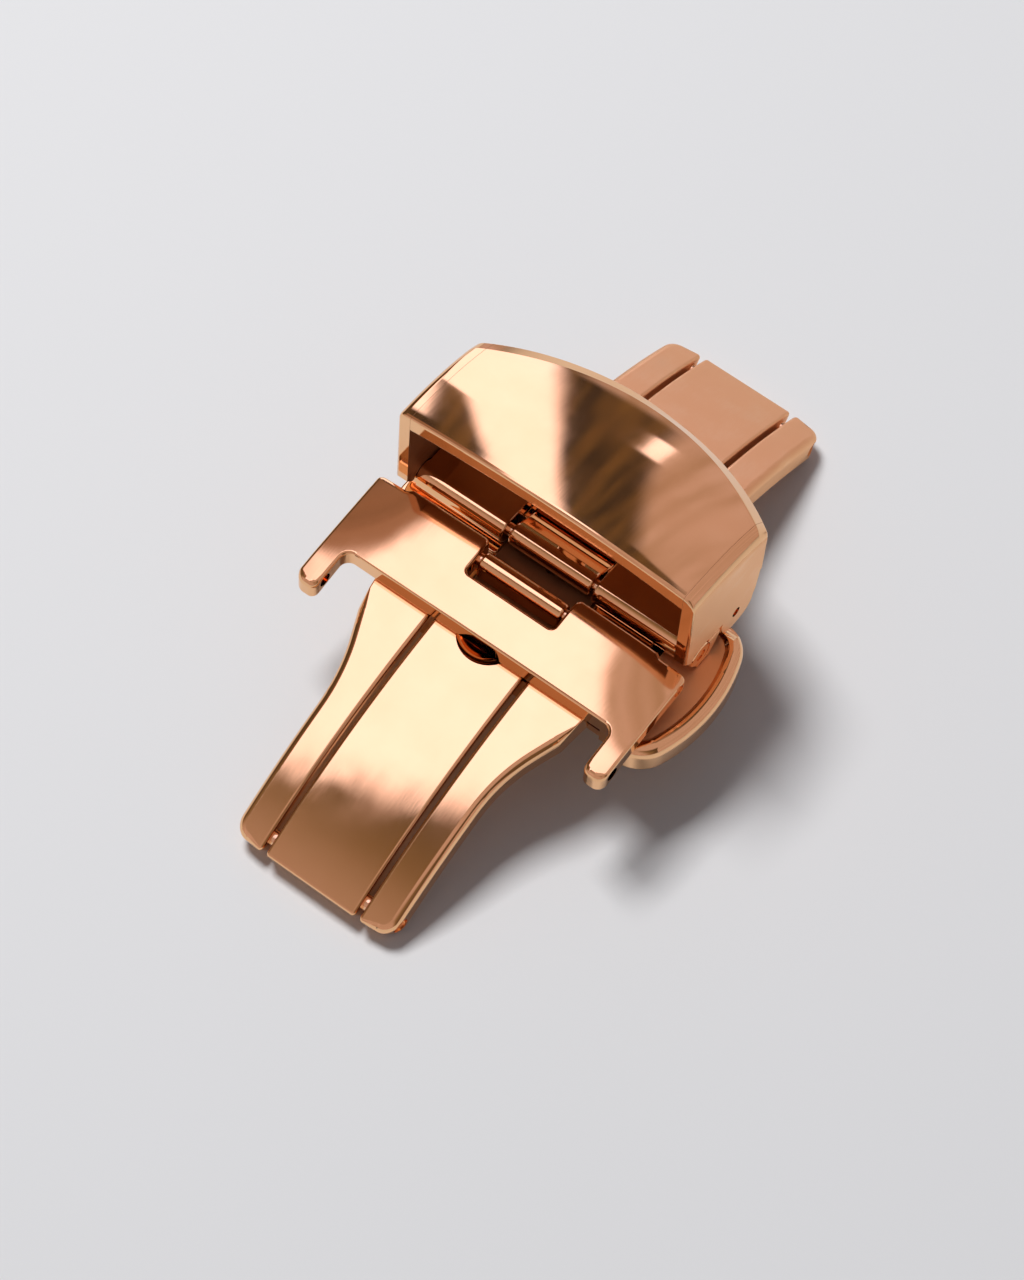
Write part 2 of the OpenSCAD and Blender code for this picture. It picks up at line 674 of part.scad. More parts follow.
// The slider: a flat bar that carries two hooks.
module slider_body() {
    difference() {
        translate([bar_in, tray_y[0] + tray_wall + 0.05, bar_lo])
            cube([bar_out - bar_in, tray_y[1] - tray_y[0] - 2 * tray_wall - 0.1, bar_t]);
        for (y = [-3.3, 0.8])
            translate([button_in + 0.75, y, bar_lo - 1]) cylinder(r = 0.4, h = 3);
    }
}

// The slider's two hooks, each an upright with a lip that reaches over a catch's tooth.
module hook_pair() {
    for (span = [lock_front, lock_rear]) {
        translate([hook_face - 1, span[0], bar_hi])
            cube([0.6, span[1] - span[0], hook_hi - bar_hi]);
        translate([hook_face - 0.5, span[0], hook_lo])
            cube([0.5, span[1] - span[0], hook_hi - hook_lo]);
    }
}

module slider_rivet_pair() {
    for (y = [-3.3, 0.8])
        translate([button_in + 0.75, y, bar_lo]) cylinder(r = 0.4, h = bar_t + 0.9);
}

module button_drilled() {
    difference() {
        button_body();
        for (y = [-3.3, 0.8])
            translate([button_in + 0.75, y, bar_hi - 1]) cylinder(r = 0.4, h = 1.9);
    }
}

module button_right() {
    color(gold) placed() button_drilled();
}

module slider_right() {
    color(gold) placed() slider_body();
}

module hooks_right() {
    color(gold) placed() hook_pair();
}

module slider_rivets_right() {
    color(pale) placed() slider_rivet_pair();
}

base_strip();
lock_housing();
housing_rivets();
front_hinge_pin();
rear_hinge_pin();
front_fork();
front_catches();
lug_plate();
front_cross_pin();
rear_fork();
rear_catches();
hood_floor();
floor_cheeks();
rear_cross_pin();
strap_post();
hood();
hood_pins();
button_right();
slider_right();
hooks_right();
slider_rivets_right();
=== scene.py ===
import bpy
import bmesh
import math
from mathutils import Matrix, Vector

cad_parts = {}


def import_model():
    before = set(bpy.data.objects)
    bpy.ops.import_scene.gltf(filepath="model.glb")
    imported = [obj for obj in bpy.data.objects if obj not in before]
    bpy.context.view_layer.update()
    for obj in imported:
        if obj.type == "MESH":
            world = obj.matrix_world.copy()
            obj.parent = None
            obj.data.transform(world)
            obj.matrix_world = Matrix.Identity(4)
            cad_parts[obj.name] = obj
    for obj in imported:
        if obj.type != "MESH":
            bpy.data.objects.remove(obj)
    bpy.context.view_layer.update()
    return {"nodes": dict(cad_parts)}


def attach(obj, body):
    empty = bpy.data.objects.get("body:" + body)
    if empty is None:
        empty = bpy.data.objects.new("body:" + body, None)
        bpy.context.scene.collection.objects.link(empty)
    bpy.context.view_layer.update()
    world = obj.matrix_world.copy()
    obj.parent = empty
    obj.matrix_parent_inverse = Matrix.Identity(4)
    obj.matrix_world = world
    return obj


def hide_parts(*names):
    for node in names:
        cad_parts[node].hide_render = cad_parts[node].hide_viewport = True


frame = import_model()

# All lengths below are in mm, as in the CAD model. MM turns them into metres.
MM = 0.001

# The same driving sizes as the CAD model, apart from the few whose comment says that they differ.
STRIP_HW = 3.05
STRIP_T = 1.6
ARM_IN = 3.35
ARM_HW = 5.5
ROOT_HW = 7.2
ROOT_Y = 5.7
# The arm's outer side from its wide root over a hollow curve to its end: x, y and the corner's radius.
ARM_SIDE = ((ROOT_HW, ROOT_Y, 0.4), (7.1, 6.45, 0), (6.93, 7.7, 0.7), (5.51, 11.19, 11.0))
ARM_END_HW = 5.42
FRONT_ARM_TIP = 3.05
REAR_ARM_TIP = 2.4
FRONT_BRIDGE = 4.1
REAR_BRIDGE = 4.2
CLASP = 41.7
ARCH_R = 39.6
INNER_R = ARCH_R - STRIP_T
END_A = math.asin(CLASP / 2 / ARCH_R)
CROWN = ARCH_R - INNER_R * math.cos(END_A)
ARCH_ZC = CROWN - ARCH_R
END_PIN_R = 0.47
END_PIN_IN = 0.95
PIN_ARC_R = ARCH_R - STRIP_T / 2
END_PIN_A = END_A - END_PIN_IN / PIN_ARC_R
END_PIN_Y = PIN_ARC_R * math.sin(END_PIN_A)
END_PIN_Z = ARCH_ZC + PIN_ARC_R * math.cos(END_PIN_A)
FORK_PLAY = 0.08
PLATE_T = 1.22
PLATE_IN_R = ARCH_R + FORK_PLAY
PLATE_MID_R = PLATE_IN_R + PLATE_T / 2
LUG_IN = 9.1
LUG_TIP_Y = -8.85
LUG_ROOT_Y = -5.95
PLATE_HW = 10.5
PLATE_NOTCH_HW = 2.98
PLATE_NOTCH_Y = -3.25
SPRING_BAR_R = 0.42
SPRING_BAR_Y = -7.85
SPRING_BAR_Z = ARCH_ZC + math.sqrt(PLATE_MID_R ** 2 - SPRING_BAR_Y ** 2) + 0.05
BUTTON_FACE = 12.25
# The strap's middle lies a little to the -X side, because the button is on the +X side only.
MID = (PLATE_HW - BUTTON_FACE) / 2
WELL_Z = CROWN - 1.1
WELL_HW = 4
WELL_FRONT = -4.6
WELL_BACK = 4.7
BRIDGE_LO = CROWN - 0.95
BRIDGE_HI = CROWN - 0.25
# Each knuckle is given by the y and z of its axis and its radius.
FRONT_KNUCKLE_Y = -1.8
FRONT_KNUCKLE = (FRONT_KNUCKLE_Y, ARCH_ZC + math.sqrt(PLATE_MID_R ** 2 - FRONT_KNUCKLE_Y ** 2), 0.6)
REAR_KNUCKLE = (1.15, CROWN - 0.05, 0.72)
KNUCKLE_HW = 2.8
KNUCKLE_BORE_R = 0.41
CROSS_PIN_R = 0.38
# The hood: its half widths inside and outside, front edge, top, and the radius and centre of its long bend.
HOOD_IN = 9.15
HOOD_HW = 9.95
HOOD_Y = -0.4
HOOD_Z = CROWN + 7.7
HOOD_R = 20.0
HOOD_CZ = HOOD_Z - HOOD_R
# The rounds of the hood's two side edges and the drop from its middle to its sides. They are smaller than in
# the CAD model, because the photo's reflections ask for it.
EDGE_LEFT = 0.5
EDGE_RIGHT = 0.95
HOOD_DROP = 0.55
CROWN_R = (HOOD_HW ** 2 + HOOD_DROP ** 2) / (2 * HOOD_DROP)
# The ceiling has a share of the crown of the CAD model's hood.
CAD_CROWN = 0.95
ROOF_CROWN = CAD_CROWN * 0.65
ROOF_R = (HOOD_IN ** 2 + ROOF_CROWN ** 2) / (2 * ROOF_CROWN)
# The back edge bows out by BOW from its two side ends to the apex.
HOOD_SIDE_Y = 6.7
BOW = 3.6
BOW_R = (HOOD_HW ** 2 + BOW ** 2) / (2 * BOW)
APEX_Y = HOOD_SIDE_Y + BOW
BOW_Y = APEX_Y - BOW_R
APEX_Z = HOOD_CZ + math.sqrt(HOOD_R ** 2 - (APEX_Y - HOOD_Y) ** 2)
SIDE_Z = HOOD_CZ + math.sqrt((HOOD_R - HOOD_DROP) ** 2 - (HOOD_SIDE_Y - HOOD_Y) ** 2)
# The rear bevel's lower edge follows a 45 degree cone through the apex and the two side ends. BEVEL_C is the
# y of its axis, and BEVEL_D its radius at the apex's height.
BEVEL_D = (HOOD_HW ** 2 + BOW ** 2 - (SIDE_Z - APEX_Z) ** 2) / (2 * (BOW - SIDE_Z + APEX_Z))
BEVEL_C = APEX_Y - BEVEL_D
# The bevel's upper edge at the hood's middle, and how it bows towards the sides.
BEVEL_TOP_Y = 9.65
BEVEL_TOP_BOW = 0.0375
# The lower edge lies BEVEL_DROP under the cone, and is higher by BEVEL_LIFT on the left.
BEVEL_DROP = 0.4
BEVEL_LIFT = 0.6
# The hood's pins, given as the knuckles are, the lobe round each, and the heel behind it.
HOOD_PIN = (4.46, CROWN + 0.21, 0.33)
LOBE_R = 1.45
HEEL_Y = 6.2
HEEL_R = 1.15
FLIP = math.radians(41)
# The floor, its ears beside the upper knuckle and its nose, whose round is larger than in the CAD model.
FLOOR_LO = CROWN + FORK_PLAY
FLOOR_HI = FLOOR_LO + 0.72
EAR_R = 0.85
NOSE_R = 0.92
NOSE_IN = 3.1
EAR_IN = 8.9
FLOOR_HW = 9.0
FLOOR_BACK = 5.7
# The button: its top, height, the round of its outer face, its middle and its inner side.
BUTTON_TOP = CROWN - 0.95
BUTTON_H = 1.8
BUTTON_R = 10.5
BUTTON_CX = BUTTON_FACE - BUTTON_R
BUTTON_Y = -0.7
BUTTON_IN = 7.9
BUTTON_DEEP = 0.28
# The foot under the button, which holds it to the slider.
FOOT_LO = CROWN - 3.2
FOOT_FRONT = -4.2
FOOT_BACK = 1.7
FOOT_W = 1.5
CHEEK_IN = 7.45
CHEEK_FOOT = BUTTON_TOP - 0.18

# The lug plate's visible top: its height, slope and bow along y from the lugs' root. PLATE_BACK is its back
# edge, and PLATE_CORNER that edge beside the hood's walls, with a slanting step between them.
PLATE_TOP = 8.16
PLATE_SLOPE = 0.136
PLATE_BOW = 0.0018
PLATE_BACK = -0.78
PLATE_CORNER = -1.02
PLATE_STEP_IN = 8.35
PLATE_STEP_OUT = 8.7
PLATE_EDGE = 0.17
# Its drop towards the two ends: a wide bow with a turn at the ends. At the lugs, where the spring bar's holes
# need the height, only a share of the drop is left, and it grows over FADE_LEN from FADE_Y.
PLATE_CROWN_R = 233
END_DROP = 0.008
END_DROP_X = 6.5
LUG_SHARE = 0.15
FADE_Y = -7.2
FADE_LEN = 7.3
# The thin inner ends of the arms, which close the line of light under the plate and the floor.
TONGUE_IN = 3.12
TONGUE_LO = 5.74
TONGUE_HI = 6.1
# The dish near the front end of the strip's well.
DISH_Y = -5.05
DISH_R = 2.12
DISH_DEPTH = 1.3
DISH_SQUASH = 0.92
DISH_STEPS = 14
DISH_STEP_DEG = 4.3
# The dish's turned lip: radii and depths under the strip's top.
DISH_LIP = ((1.93, 0.22), (2.1, 0.05), (2.3, -0.1), (2.5, -0.5))


# Mesh tools

# GUARD is the width of the thin ring beside each round, which keeps the round's shading off the flat.
GUARD = 0.012
# The number of steps along the hood's long arcs.
ARC_N = 36


def rounded(points):
    """A closed outline with its corners rounded: points are (x, y, radius), counter-clockwise."""
    out = []
    count = len(points)
    for i, (x, y, r) in enumerate(points):
        p = Vector((x, y))
        u = (Vector(points[i - 1][:2]) - p).normalized()
        v = (Vector(points[(i + 1) % count][:2]) - p).normalized()
        if r <= 0:
            out.append(p)
            continue
        half = u.angle(v) / 2
        t = r / math.tan(half)
        c = p + (u + v).normalized() * (r / math.sin(half))
        s, e = p + u * t, p + v * t
        a0 = math.atan2(s.y - c.y, s.x - c.x)
        sweep = math.atan2(e.y - c.y, e.x - c.x) - a0
        sweep = (sweep + math.pi) % (2 * math.pi) - math.pi
        n = max(2, math.ceil(abs(math.degrees(sweep)) / 11), math.ceil(abs(sweep) * r / 0.5))
        out.append(s + u * GUARD)
        for k in range(n + 1):
            a = a0 + sweep * k / n
            out.append(c + Vector((math.cos(a), math.sin(a))) * r)
        out.append(e + v * GUARD)
    return out


def rectangle(x0, x1, y0, y1, r=0.0):
    """A closed rectangular outline with its corners rounded by r."""
    return rounded([(x0, y0, r), (x1, y0, r), (x1, y1, r), (x0, y1, r)])


def arc(cy, cz, r, a0, a1, step=9.0):
    """Points on an arc, angles in degrees."""
    n = max(2, math.ceil(abs(a1 - a0) / step))
    return [Vector((cy + r * math.cos(math.radians(a0 + (a1 - a0) * k / n)),
                    cz + r * math.sin(math.radians(a0 + (a1 - a0) * k / n)))) for k in range(n + 1)]


def inset(points, dist):
    """The closed outline moved inwards, by one distance or by one for each point."""
    count = len(points)
    out = []
    for i, p in enumerate(points):
        d = dist[i] if isinstance(dist, list) else dist
        e1 = (p - points[i - 1]).normalized()
        e2 = (points[(i + 1) % count] - p).normalized()
        n1 = Vector((e1.y, -e1.x))
        n2 = Vector((e2.y, -e2.x))
        n = (n1 + n2).normalized()
        out.append(p - n * (d / max(0.35, n.dot(n1))))
    return out


def slice_at(bm, places, axis):
    """Cuts all faces at these places along the axis, so that they can be bent."""
    for c in places:
        bmesh.ops.bisect_plane(bm, geom=bm.verts[:] + bm.edges[:] + bm.faces[:], dist=1e-5,
                               plane_co=axis * c, plane_no=axis)


def prism(outline, lo, hi, r_lo=0.0, r_hi=0.0, n=4, cuts=(), place=None, across=()):
    """An outline raised from lo to hi, its lower and upper edges rounded, cut along v (and u) and put in
    place. The upper round may be a function of the outline's point."""
    bm = bmesh.new()
    rings = []
    radii = [r_hi(p) if callable(r_hi) else r_hi for p in outline]

    def ring(dist, heights):
        rings.append([bm.verts.new((p.x, p.y, h)) for p, h in zip(inset(outline, dist), heights)])

    def level(d, h):
        ring(d, [h] * len(outline))

    if r_lo > 0:
        level(r_lo + GUARD, lo)
        for k in range(n + 1):
            a = math.pi / 2 * k / n
            level(r_lo * (1 - math.sin(a)), lo + r_lo * (1 - math.cos(a)))
        level(0, lo + r_lo + GUARD)
    else:
        level(0, lo)
    if max(radii) > 0:
        ring(0, [hi - r - GUARD for r in radii])
        for k in range(n + 1):
            a = math.pi / 2 * k / n
            ring([r * (1 - math.cos(a)) for r in radii], [hi - r * (1 - math.sin(a)) for r in radii])
        ring([r + GUARD for r in radii], [hi] * len(outline))
    else:
        level(0, hi)
    count = len(outline)
    for a, b in zip(rings, rings[1:]):
        for i in range(count):
            j = (i + 1) % count
            bm.faces.new((a[i], a[j], b[j], b[i]))
    bm.faces.new(list(reversed(rings[0])))
    bm.faces.new(rings[-1])
    slice_at(bm, cuts, Vector((0, 1, 0)))
    slice_at(bm, across, Vector((1, 0, 0)))
    if place:
        for v in bm.verts:
            v.co = place(v.co)
    bmesh.ops.recalc_face_normals(bm, faces=bm.faces[:])
    return bm


def along_x(v):
    """A (y, z) outline raised along X."""
    return Vector((v.z, v.x, v.y))


def on_arch(sx=1, sy=1):
    """Bends a flat plan round the wrist's axis and mirrors it. Heights count from the arch's outer radius."""
    def place(v):
        a = math.asin(min(1.0, v.y / ARCH_R))
        r = ARCH_R + v.z
        return Vector((sx * v.x, sy * r * math.sin(a), ARCH_ZC + r * math.cos(a)))
    return place


def on_plate(v):
    """Bends a flat plan over the arms and keeps its edges upright. The top is nearly a sloping plane, and
    drops a little towards its two ends."""
    low = ARCH_ZC + math.sqrt(PLATE_IN_R ** 2 - v.y ** 2)
    along = v.y - LUG_ROOT_Y
    level = PLATE_TOP + PLATE_SLOPE * along - PLATE_BOW * along ** 2
    drop = v.x ** 2 / (2 * PLATE_CROWN_R) + END_DROP * max(0.0, abs(v.x) - END_DROP_X) ** 2
    share = min(1.0, max(LUG_SHARE, LUG_SHARE + (v.y - FADE_Y) / FADE_LEN))
    high = level - drop * share
    return Vector((v.x, v.y, low + (high - low) * v.z / PLATE_T))


def plate_round(p):
    """The plate's upper edge is widely rounded at the back and at the lugs' tips."""
    if abs(p.x) > KNUCKLE_HW:
        back = min(1.0, max(0.0, (p.y - PLATE_BACK + 0.5) / 0.3))
        tip = min(1.0, max(0.0, (LUG_TIP_Y + 0.55 - p.y) / 0.3))
        return PLATE_EDGE + 0.19 * back + 0.17 * tip
    return PLATE_EDGE


def join(parts):
    """One bmesh from several shells, each a bmesh or a mesh, which are used up."""
    bm = bmesh.new()
    for part in parts:
        if isinstance(part, bmesh.types.BMesh):
            mesh = bpy.data.meshes.new("shell")
            part.to_mesh(mesh)
            part.free()
        else:
            mesh = part
        bm.from_mesh(mesh)
        bpy.data.meshes.remove(mesh)
    return bm


def link(name, data):
    """A new object in the scene with this mesh, lamp or camera."""
    obj = bpy.data.objects.new(name, data)
    bpy.context.scene.collection.objects.link(obj)
    return obj


def make(name, parts, sharp=38.0):
    """One object from several shells, in metres, shaded smooth up to the given angle."""
    mesh = bpy.data.meshes.new(name)
    bm = join(parts)
    bmesh.ops.translate(bm, vec=(MID, 0, 0), verts=bm.verts[:])
    bmesh.ops.scale(bm, vec=(MM, MM, MM), verts=bm.verts[:])
    bm.to_mesh(mesh)
    bm.free()
    mesh.polygons.foreach_set("use_smooth", [True] * len(mesh.polygons))
    mesh.set_sharp_from_angle(angle=math.radians(sharp))
    return link(name, mesh)


def carve(parts, cutters):
    """The first shells joined, less the cutters, as a mesh in mm."""
    def raw(name, group):
        mesh = bpy.data.meshes.new(name)
        bm = join(group)
        # The solver can lose bent faces, so it gets triangles.
        bmesh.ops.triangulate(bm, faces=bm.faces[:])
        bm.to_mesh(mesh)
        bm.free()
        return link(name, mesh)

    body = raw("carve_body", parts)
    tool = raw("carve_tool", cutters)
    mod = body.modifiers.new("cut", "BOOLEAN")
    mod.operation = "DIFFERENCE"
    mod.solver = "EXACT"
    mod.use_self = True
    mod.object = tool
    deps = bpy.context.evaluated_depsgraph_get()
    mesh = bpy.data.meshes.new_from_object(body.evaluated_get(deps))
    # Small holes that the solver leaves are closed.
    bm = bmesh.new()
    bm.from_mesh(mesh)
    bmesh.ops.holes_fill(bm, edges=[e for e in bm.edges if e.is_boundary], sides=4)
    bm.to_mesh(mesh)
    bm.free()
    for o in (body, tool):
        data = o.data
        bpy.data.objects.remove(o)
        bpy.data.meshes.remove(data)
    return mesh


def rod(y, z, r, x0, x1):
    """A round bar along X."""
    return prism(arc(y, z, r, 0, 360, 7.5)[:-1], x0, x1, place=along_x)


def steps(lo, hi, size):
    """The places between lo and hi, about one size apart, without the two ends."""
    n = max(1, round((hi - lo) / size))
    return [lo + (hi - lo) * k / n for k in range(1, n)]


# Base strip
def base_strip():
    """The curved centre strip with the well for the forks' bridges and the dish."""
    half = CLASP / 2
    outline = rectangle(-STRIP_HW, STRIP_HW, -half, half, 0.2)
    strip = prism(outline, INNER_R - ARCH_R, 0, 0.12, 0.17, 4, steps(-half, half, 0.4), on_arch())
    well = prism(rectangle(-WELL_HW, WELL_HW, WELL_FRONT, WELL_BACK), WELL_Z, CROWN + 3)
    return make("base_strip_polished", [carve([strip], [well, dish()])])


def dish():
    """The dish's cutter: a bowl that flares out where it leaves the strip, for a turned lip."""
    bm = bmesh.new()
    profile = [(0.0, CROWN - DISH_DEPTH)]
    for k in range(1, DISH_STEPS + 1):
        a = math.radians(DISH_STEP_DEG * k)
        profile.append((DISH_R * math.sin(a), CROWN - DISH_DEPTH + DISH_R * (1 - math.cos(a)) * DISH_SQUASH))
    profile += [(r, CROWN - depth) for r, depth in DISH_LIP]
    profile.append((0.0, profile[-1][1]))
    turns = [2 * math.pi * k / 64 for k in range(64)]
    rings = []
    for r, z in profile:
        if r == 0:
            rings.append([bm.verts.new((0, DISH_Y, z))] * len(turns))
        else:
            rings.append([bm.verts.new((r * math.cos(a), DISH_Y + r * math.sin(a), z)) for a in turns])
    for a, b in zip(rings, rings[1:]):
        for k in range(len(turns)):
            j = (k + 1) % len(turns)
            corners = dict.fromkeys((a[k], a[j], b[j], b[k]))
            bm.faces.new(list(corners))
    bmesh.ops.recalc_face_normals(bm, faces=bm.faces[:])
    return bm


# Forks
def arm_round(p):
    """The arm's upper edge is finely rounded at the slot and widely outside, but sharp beside the plate."""
    if p.x < ARM_IN + 0.6:
        return 0.2
    return 0.08 + 0.37 * min(1.0, max(0.0, (p.y - 6.5) / 1.1))


def arm(tip, sx, sy):
    """One arm from its inner tip to the end of the clasp, with the hole for the end pin."""
    half = CLASP / 2
    outline = rounded([(ARM_IN, tip, 0.1), (ROOT_HW, tip, 0.15), *ARM_SIDE, (ARM_END_HW, half, 0.95),
                       (ARM_IN, half, 0.24)])
    shell = prism(outline, INNER_R - ARCH_R, 0, 0.14, arm_round, 6, steps(tip, half, 0.4), on_arch(sx, sy))
    x0, x1 = sorted((sx * (ARM_IN - 0.5), sx * (ARM_HW + 0.5)))
    hole = rod(sy * END_PIN_Y, END_PIN_Z, END_PIN_R + 0.03, x0, x1)
    return carve([shell], [hole])


def bridge(y0, y1):
    """The bridge between a fork's two arms."""
    outline = rectangle(y0, y1, BRIDGE_LO, BRIDGE_HI, 0.1)
    return prism(outline, -ARM_IN - 0.5, ARM_IN + 0.5, 0.05, 0.05, 2, (), along_x)


def tongue(s, y0, y1, reach):
    """The thin end of an arm, which runs on under the plate or the floor."""
    x0, x1 = sorted((s * TONGUE_IN, s * reach))
    outline = rounded([(x0, y0, 0.3), (x1, y0, 0.3), (x1, y1, 0.1), (x0, y1, 0.1)])
    return prism(outline, TONGUE_LO, TONGUE_HI, 0.08, 0.1, 3)


def front_fork():
    """Two arms, the bridge and the lower knuckle, whose outline runs on into the bridge."""
    y, z, r = FRONT_KNUCKLE
    outline = [Vector((-3.8, BRIDGE_LO)), Vector((y + 0.35, BRIDGE_LO)), Vector((y + r - 0.02, z - 0.5))]
    outline += arc(y, z, r, -8, 186)
    outline += [Vector((y - r - 0.09, BRIDGE_HI + 0.3)), Vector((y - r - 0.14, BRIDGE_HI + 0.14)),
                Vector((y - r - 0.26, BRIDGE_HI + 0.03)), Vector((y - r - 0.42, BRIDGE_HI)),
                Vector((-3.8, BRIDGE_HI))]
    knuckle = prism(outline, -KNUCKLE_HW, KNUCKLE_HW, 0.16, 0.16, 4, (), along_x)
    hole = rod(y, z, KNUCKLE_BORE_R, -KNUCKLE_HW - 1, KNUCKLE_HW + 1)
    parts = [arm(FRONT_ARM_TIP, s, -1) for s in (1, -1)]
    parts += [carve([knuckle], [hole]), bridge(-FRONT_BRIDGE, -FRONT_ARM_TIP)]
    parts += [tongue(s, -3.3, -1.0, ROOT_HW) for s in (-1, 1)]
    return make("front_fork_polished", parts)


def rear_fork():
    """Two arms, the bridge and the upper knuckle before it, towards the clasp's middle."""
    y, z, r = REAR_KNUCKLE
    outline = [Vector((3.9, BRIDGE_LO)), Vector((3.9, BRIDGE_HI)), Vector((3.1, BRIDGE_HI)),
               Vector((2.9, BRIDGE_HI + 0.04)), Vector((2.7, BRIDGE_HI + 0.12))]
    outline += arc(y, z, r, 66, 262)
    outline += [Vector((y + 0.3, BRIDGE_LO + 0.2))]
    knuckle = prism(outline, -KNUCKLE_HW, KNUCKLE_HW, 0.16, 0.16, 4, (), along_x)
    hole = rod(y, z, KNUCKLE_BORE_R, -KNUCKLE_HW - 1, KNUCKLE_HW + 1)
    parts = [arm(REAR_ARM_TIP, s, 1) for s in (1, -1)]
    parts += [carve([knuckle], [hole]), bridge(REAR_ARM_TIP, REAR_BRIDGE)]
    parts += [tongue(1, -0.1, 2.7, ROOT_HW), tongue(-1, -0.1, 2.7, HOOD_HW)]
    return make("rear_fork_polished", parts)


# Lug plate
def lug_plate():
    """The plate with its notch for the knuckle and the two lugs, drawn flat and then bent."""
    right = [(LUG_IN, LUG_ROOT_Y, 0.6), (LUG_IN, LUG_TIP_Y, 0.45), (PLATE_HW, LUG_TIP_Y, 0.62),
             (PLATE_HW, PLATE_CORNER, 0.4), (PLATE_STEP_OUT, PLATE_CORNER, 0.12),
             (PLATE_STEP_IN, PLATE_BACK, 0.12), (PLATE_NOTCH_HW, PLATE_BACK, 0.38),
             (PLATE_NOTCH_HW, PLATE_NOTCH_Y, 0.3)]
    left = [(-x, y, r) for x, y, r in reversed(right)]
    line = rounded(left[-3:] + right + left[:-3])
    # Its long sides get more points, so that they follow the bent top.
    outline = []
    for p, q in zip(line, line[1:] + line[:1]):
        n = math.ceil((q - p).length / 0.6)
        outline += [p + (q - p) * k / n for k in range(n)]
    plate = prism(outline, 0, PLATE_T, 0.14, plate_round, 6, steps(LUG_TIP_Y, PLATE_BACK, 0.3), on_plate,
                  steps(-PLATE_HW, PLATE_HW, 0.7))
    y, z, _ = FRONT_KNUCKLE
    pin = rod(y, z, CROSS_PIN_R, -PLATE_HW - 1, PLATE_HW + 1)
    spring = rod(SPRING_BAR_Y, SPRING_BAR_Z, SPRING_BAR_R, -PLATE_HW - 1, PLATE_HW + 1)
    return make("lug_plate_polished", [carve([plate], [pin, spring])])


# Hood floor
def hood_floor():
    """Two halves with a round nose beside the knuckle, a slab between them, and two ears."""
    y, z = REAR_KNUCKLE[:2]
    nose = arc(y, z, NOSE_R, 90, 355, 7.5)
    nose += [Vector((FLOOR_BACK, FLOOR_LO)), Vector((FLOOR_BACK, FLOOR_HI)), Vector((y + 0.02, z + NOSE_R))]
    parts = []
    for s in (-1, 1):
        x0, x1 = sorted((s * NOSE_IN, s * FLOOR_HW))
        r0, r1 = (0.12, 0.0) if s > 0 else (0.0, 0.12)
        parts.append(prism(nose, x0, x1, r0, r1, 4, (), along_x))
        x0, x1 = sorted((s * EAR_IN, s * HOOD_HW))
        r0, r1 = (0.0, 0.14) if s > 0 else (0.14, 0.0)
        parts.append(prism(arc(y, z, EAR_R, 0, 360, 7.5)[:-1], x0, x1, r0, r1, 4, (), along_x))
    slab = rectangle(2.9, FLOOR_BACK, FLOOR_LO, FLOOR_HI, 0.1)
    parts.append(prism(slab, -NOSE_IN - 0.05, NOSE_IN + 0.05, 0, 0, 2, (), along_x))
    hole = rod(y, z, CROSS_PIN_R, -HOOD_HW - 1, HOOD_HW + 1)
    return make("hood_floor_polished", [carve(parts, [hole])])


# Hood
def edge_of(x):
    """The radius of the hood's side edge, and the place where the round starts."""
    edge = EDGE_LEFT if x < 0 else EDGE_RIGHT
    return edge, (HOOD_HW - edge) * CROWN_R / (CROWN_R - edge)


def outer_rho(x):
    """The radius of the hood's skin round the hood's long axis at x."""
    edge, crease = edge_of(x)
    x = abs(x)
    mid = HOOD_R - CROWN_R
    edge_c = mid + math.sqrt((CROWN_R - edge) ** 2 - (HOOD_HW - edge) ** 2)
    if x <= crease:
        return mid + math.sqrt(CROWN_R ** 2 - x ** 2)
    return edge_c + math.sqrt(max(0.0, edge ** 2 - (x - HOOD_HW + edge) ** 2))


def fillet(a, p, b, r, n):
    """n + 1 points that round the corner p between a and b, with a guard point before and after."""
    lu, lv = (a - p).length, (b - p).length
    u = (a - p).normalized()
    v = (b - p).normalized()
    turn = u.angle(v)
    if turn > math.radians(176):
        t = min(r, 0.4 * lu, 0.4 * lv)
        return [p + u * (t * (1 - 2 * k / (n + 2))) if k <= (n + 2) / 2 else
                p + v * (t * (2 * k / (n + 2) - 1)) for k in range(n + 3)]
    t = min(r / math.tan(turn / 2), 0.42 * lu, 0.42 * lv)
    r = t * math.tan(turn / 2)
    c = p + (u + v).normalized() * (r / math.sin(turn / 2))
    s, e = p + u * t, p + v * t
    a0 = math.atan2(s.y - c.y, s.x - c.x)
    sweep = (math.atan2(e.y - c.y, e.x - c.x) - a0 + math.pi) % (2 * math.pi) - math.pi
    angles = [a0 + sweep * k / n for k in range(n + 1)]
    pts = [c + Vector((math.cos(a), math.sin(a))) * r for a in angles]
    g = min(GUARD, 0.1 * t)
    return [s + u * g] + pts + [e + v * g]


def back_y(x):
    """The hood's bowed back edge, seen from above."""
    return BOW_Y + math.sqrt(BOW_R ** 2 - x ** 2)


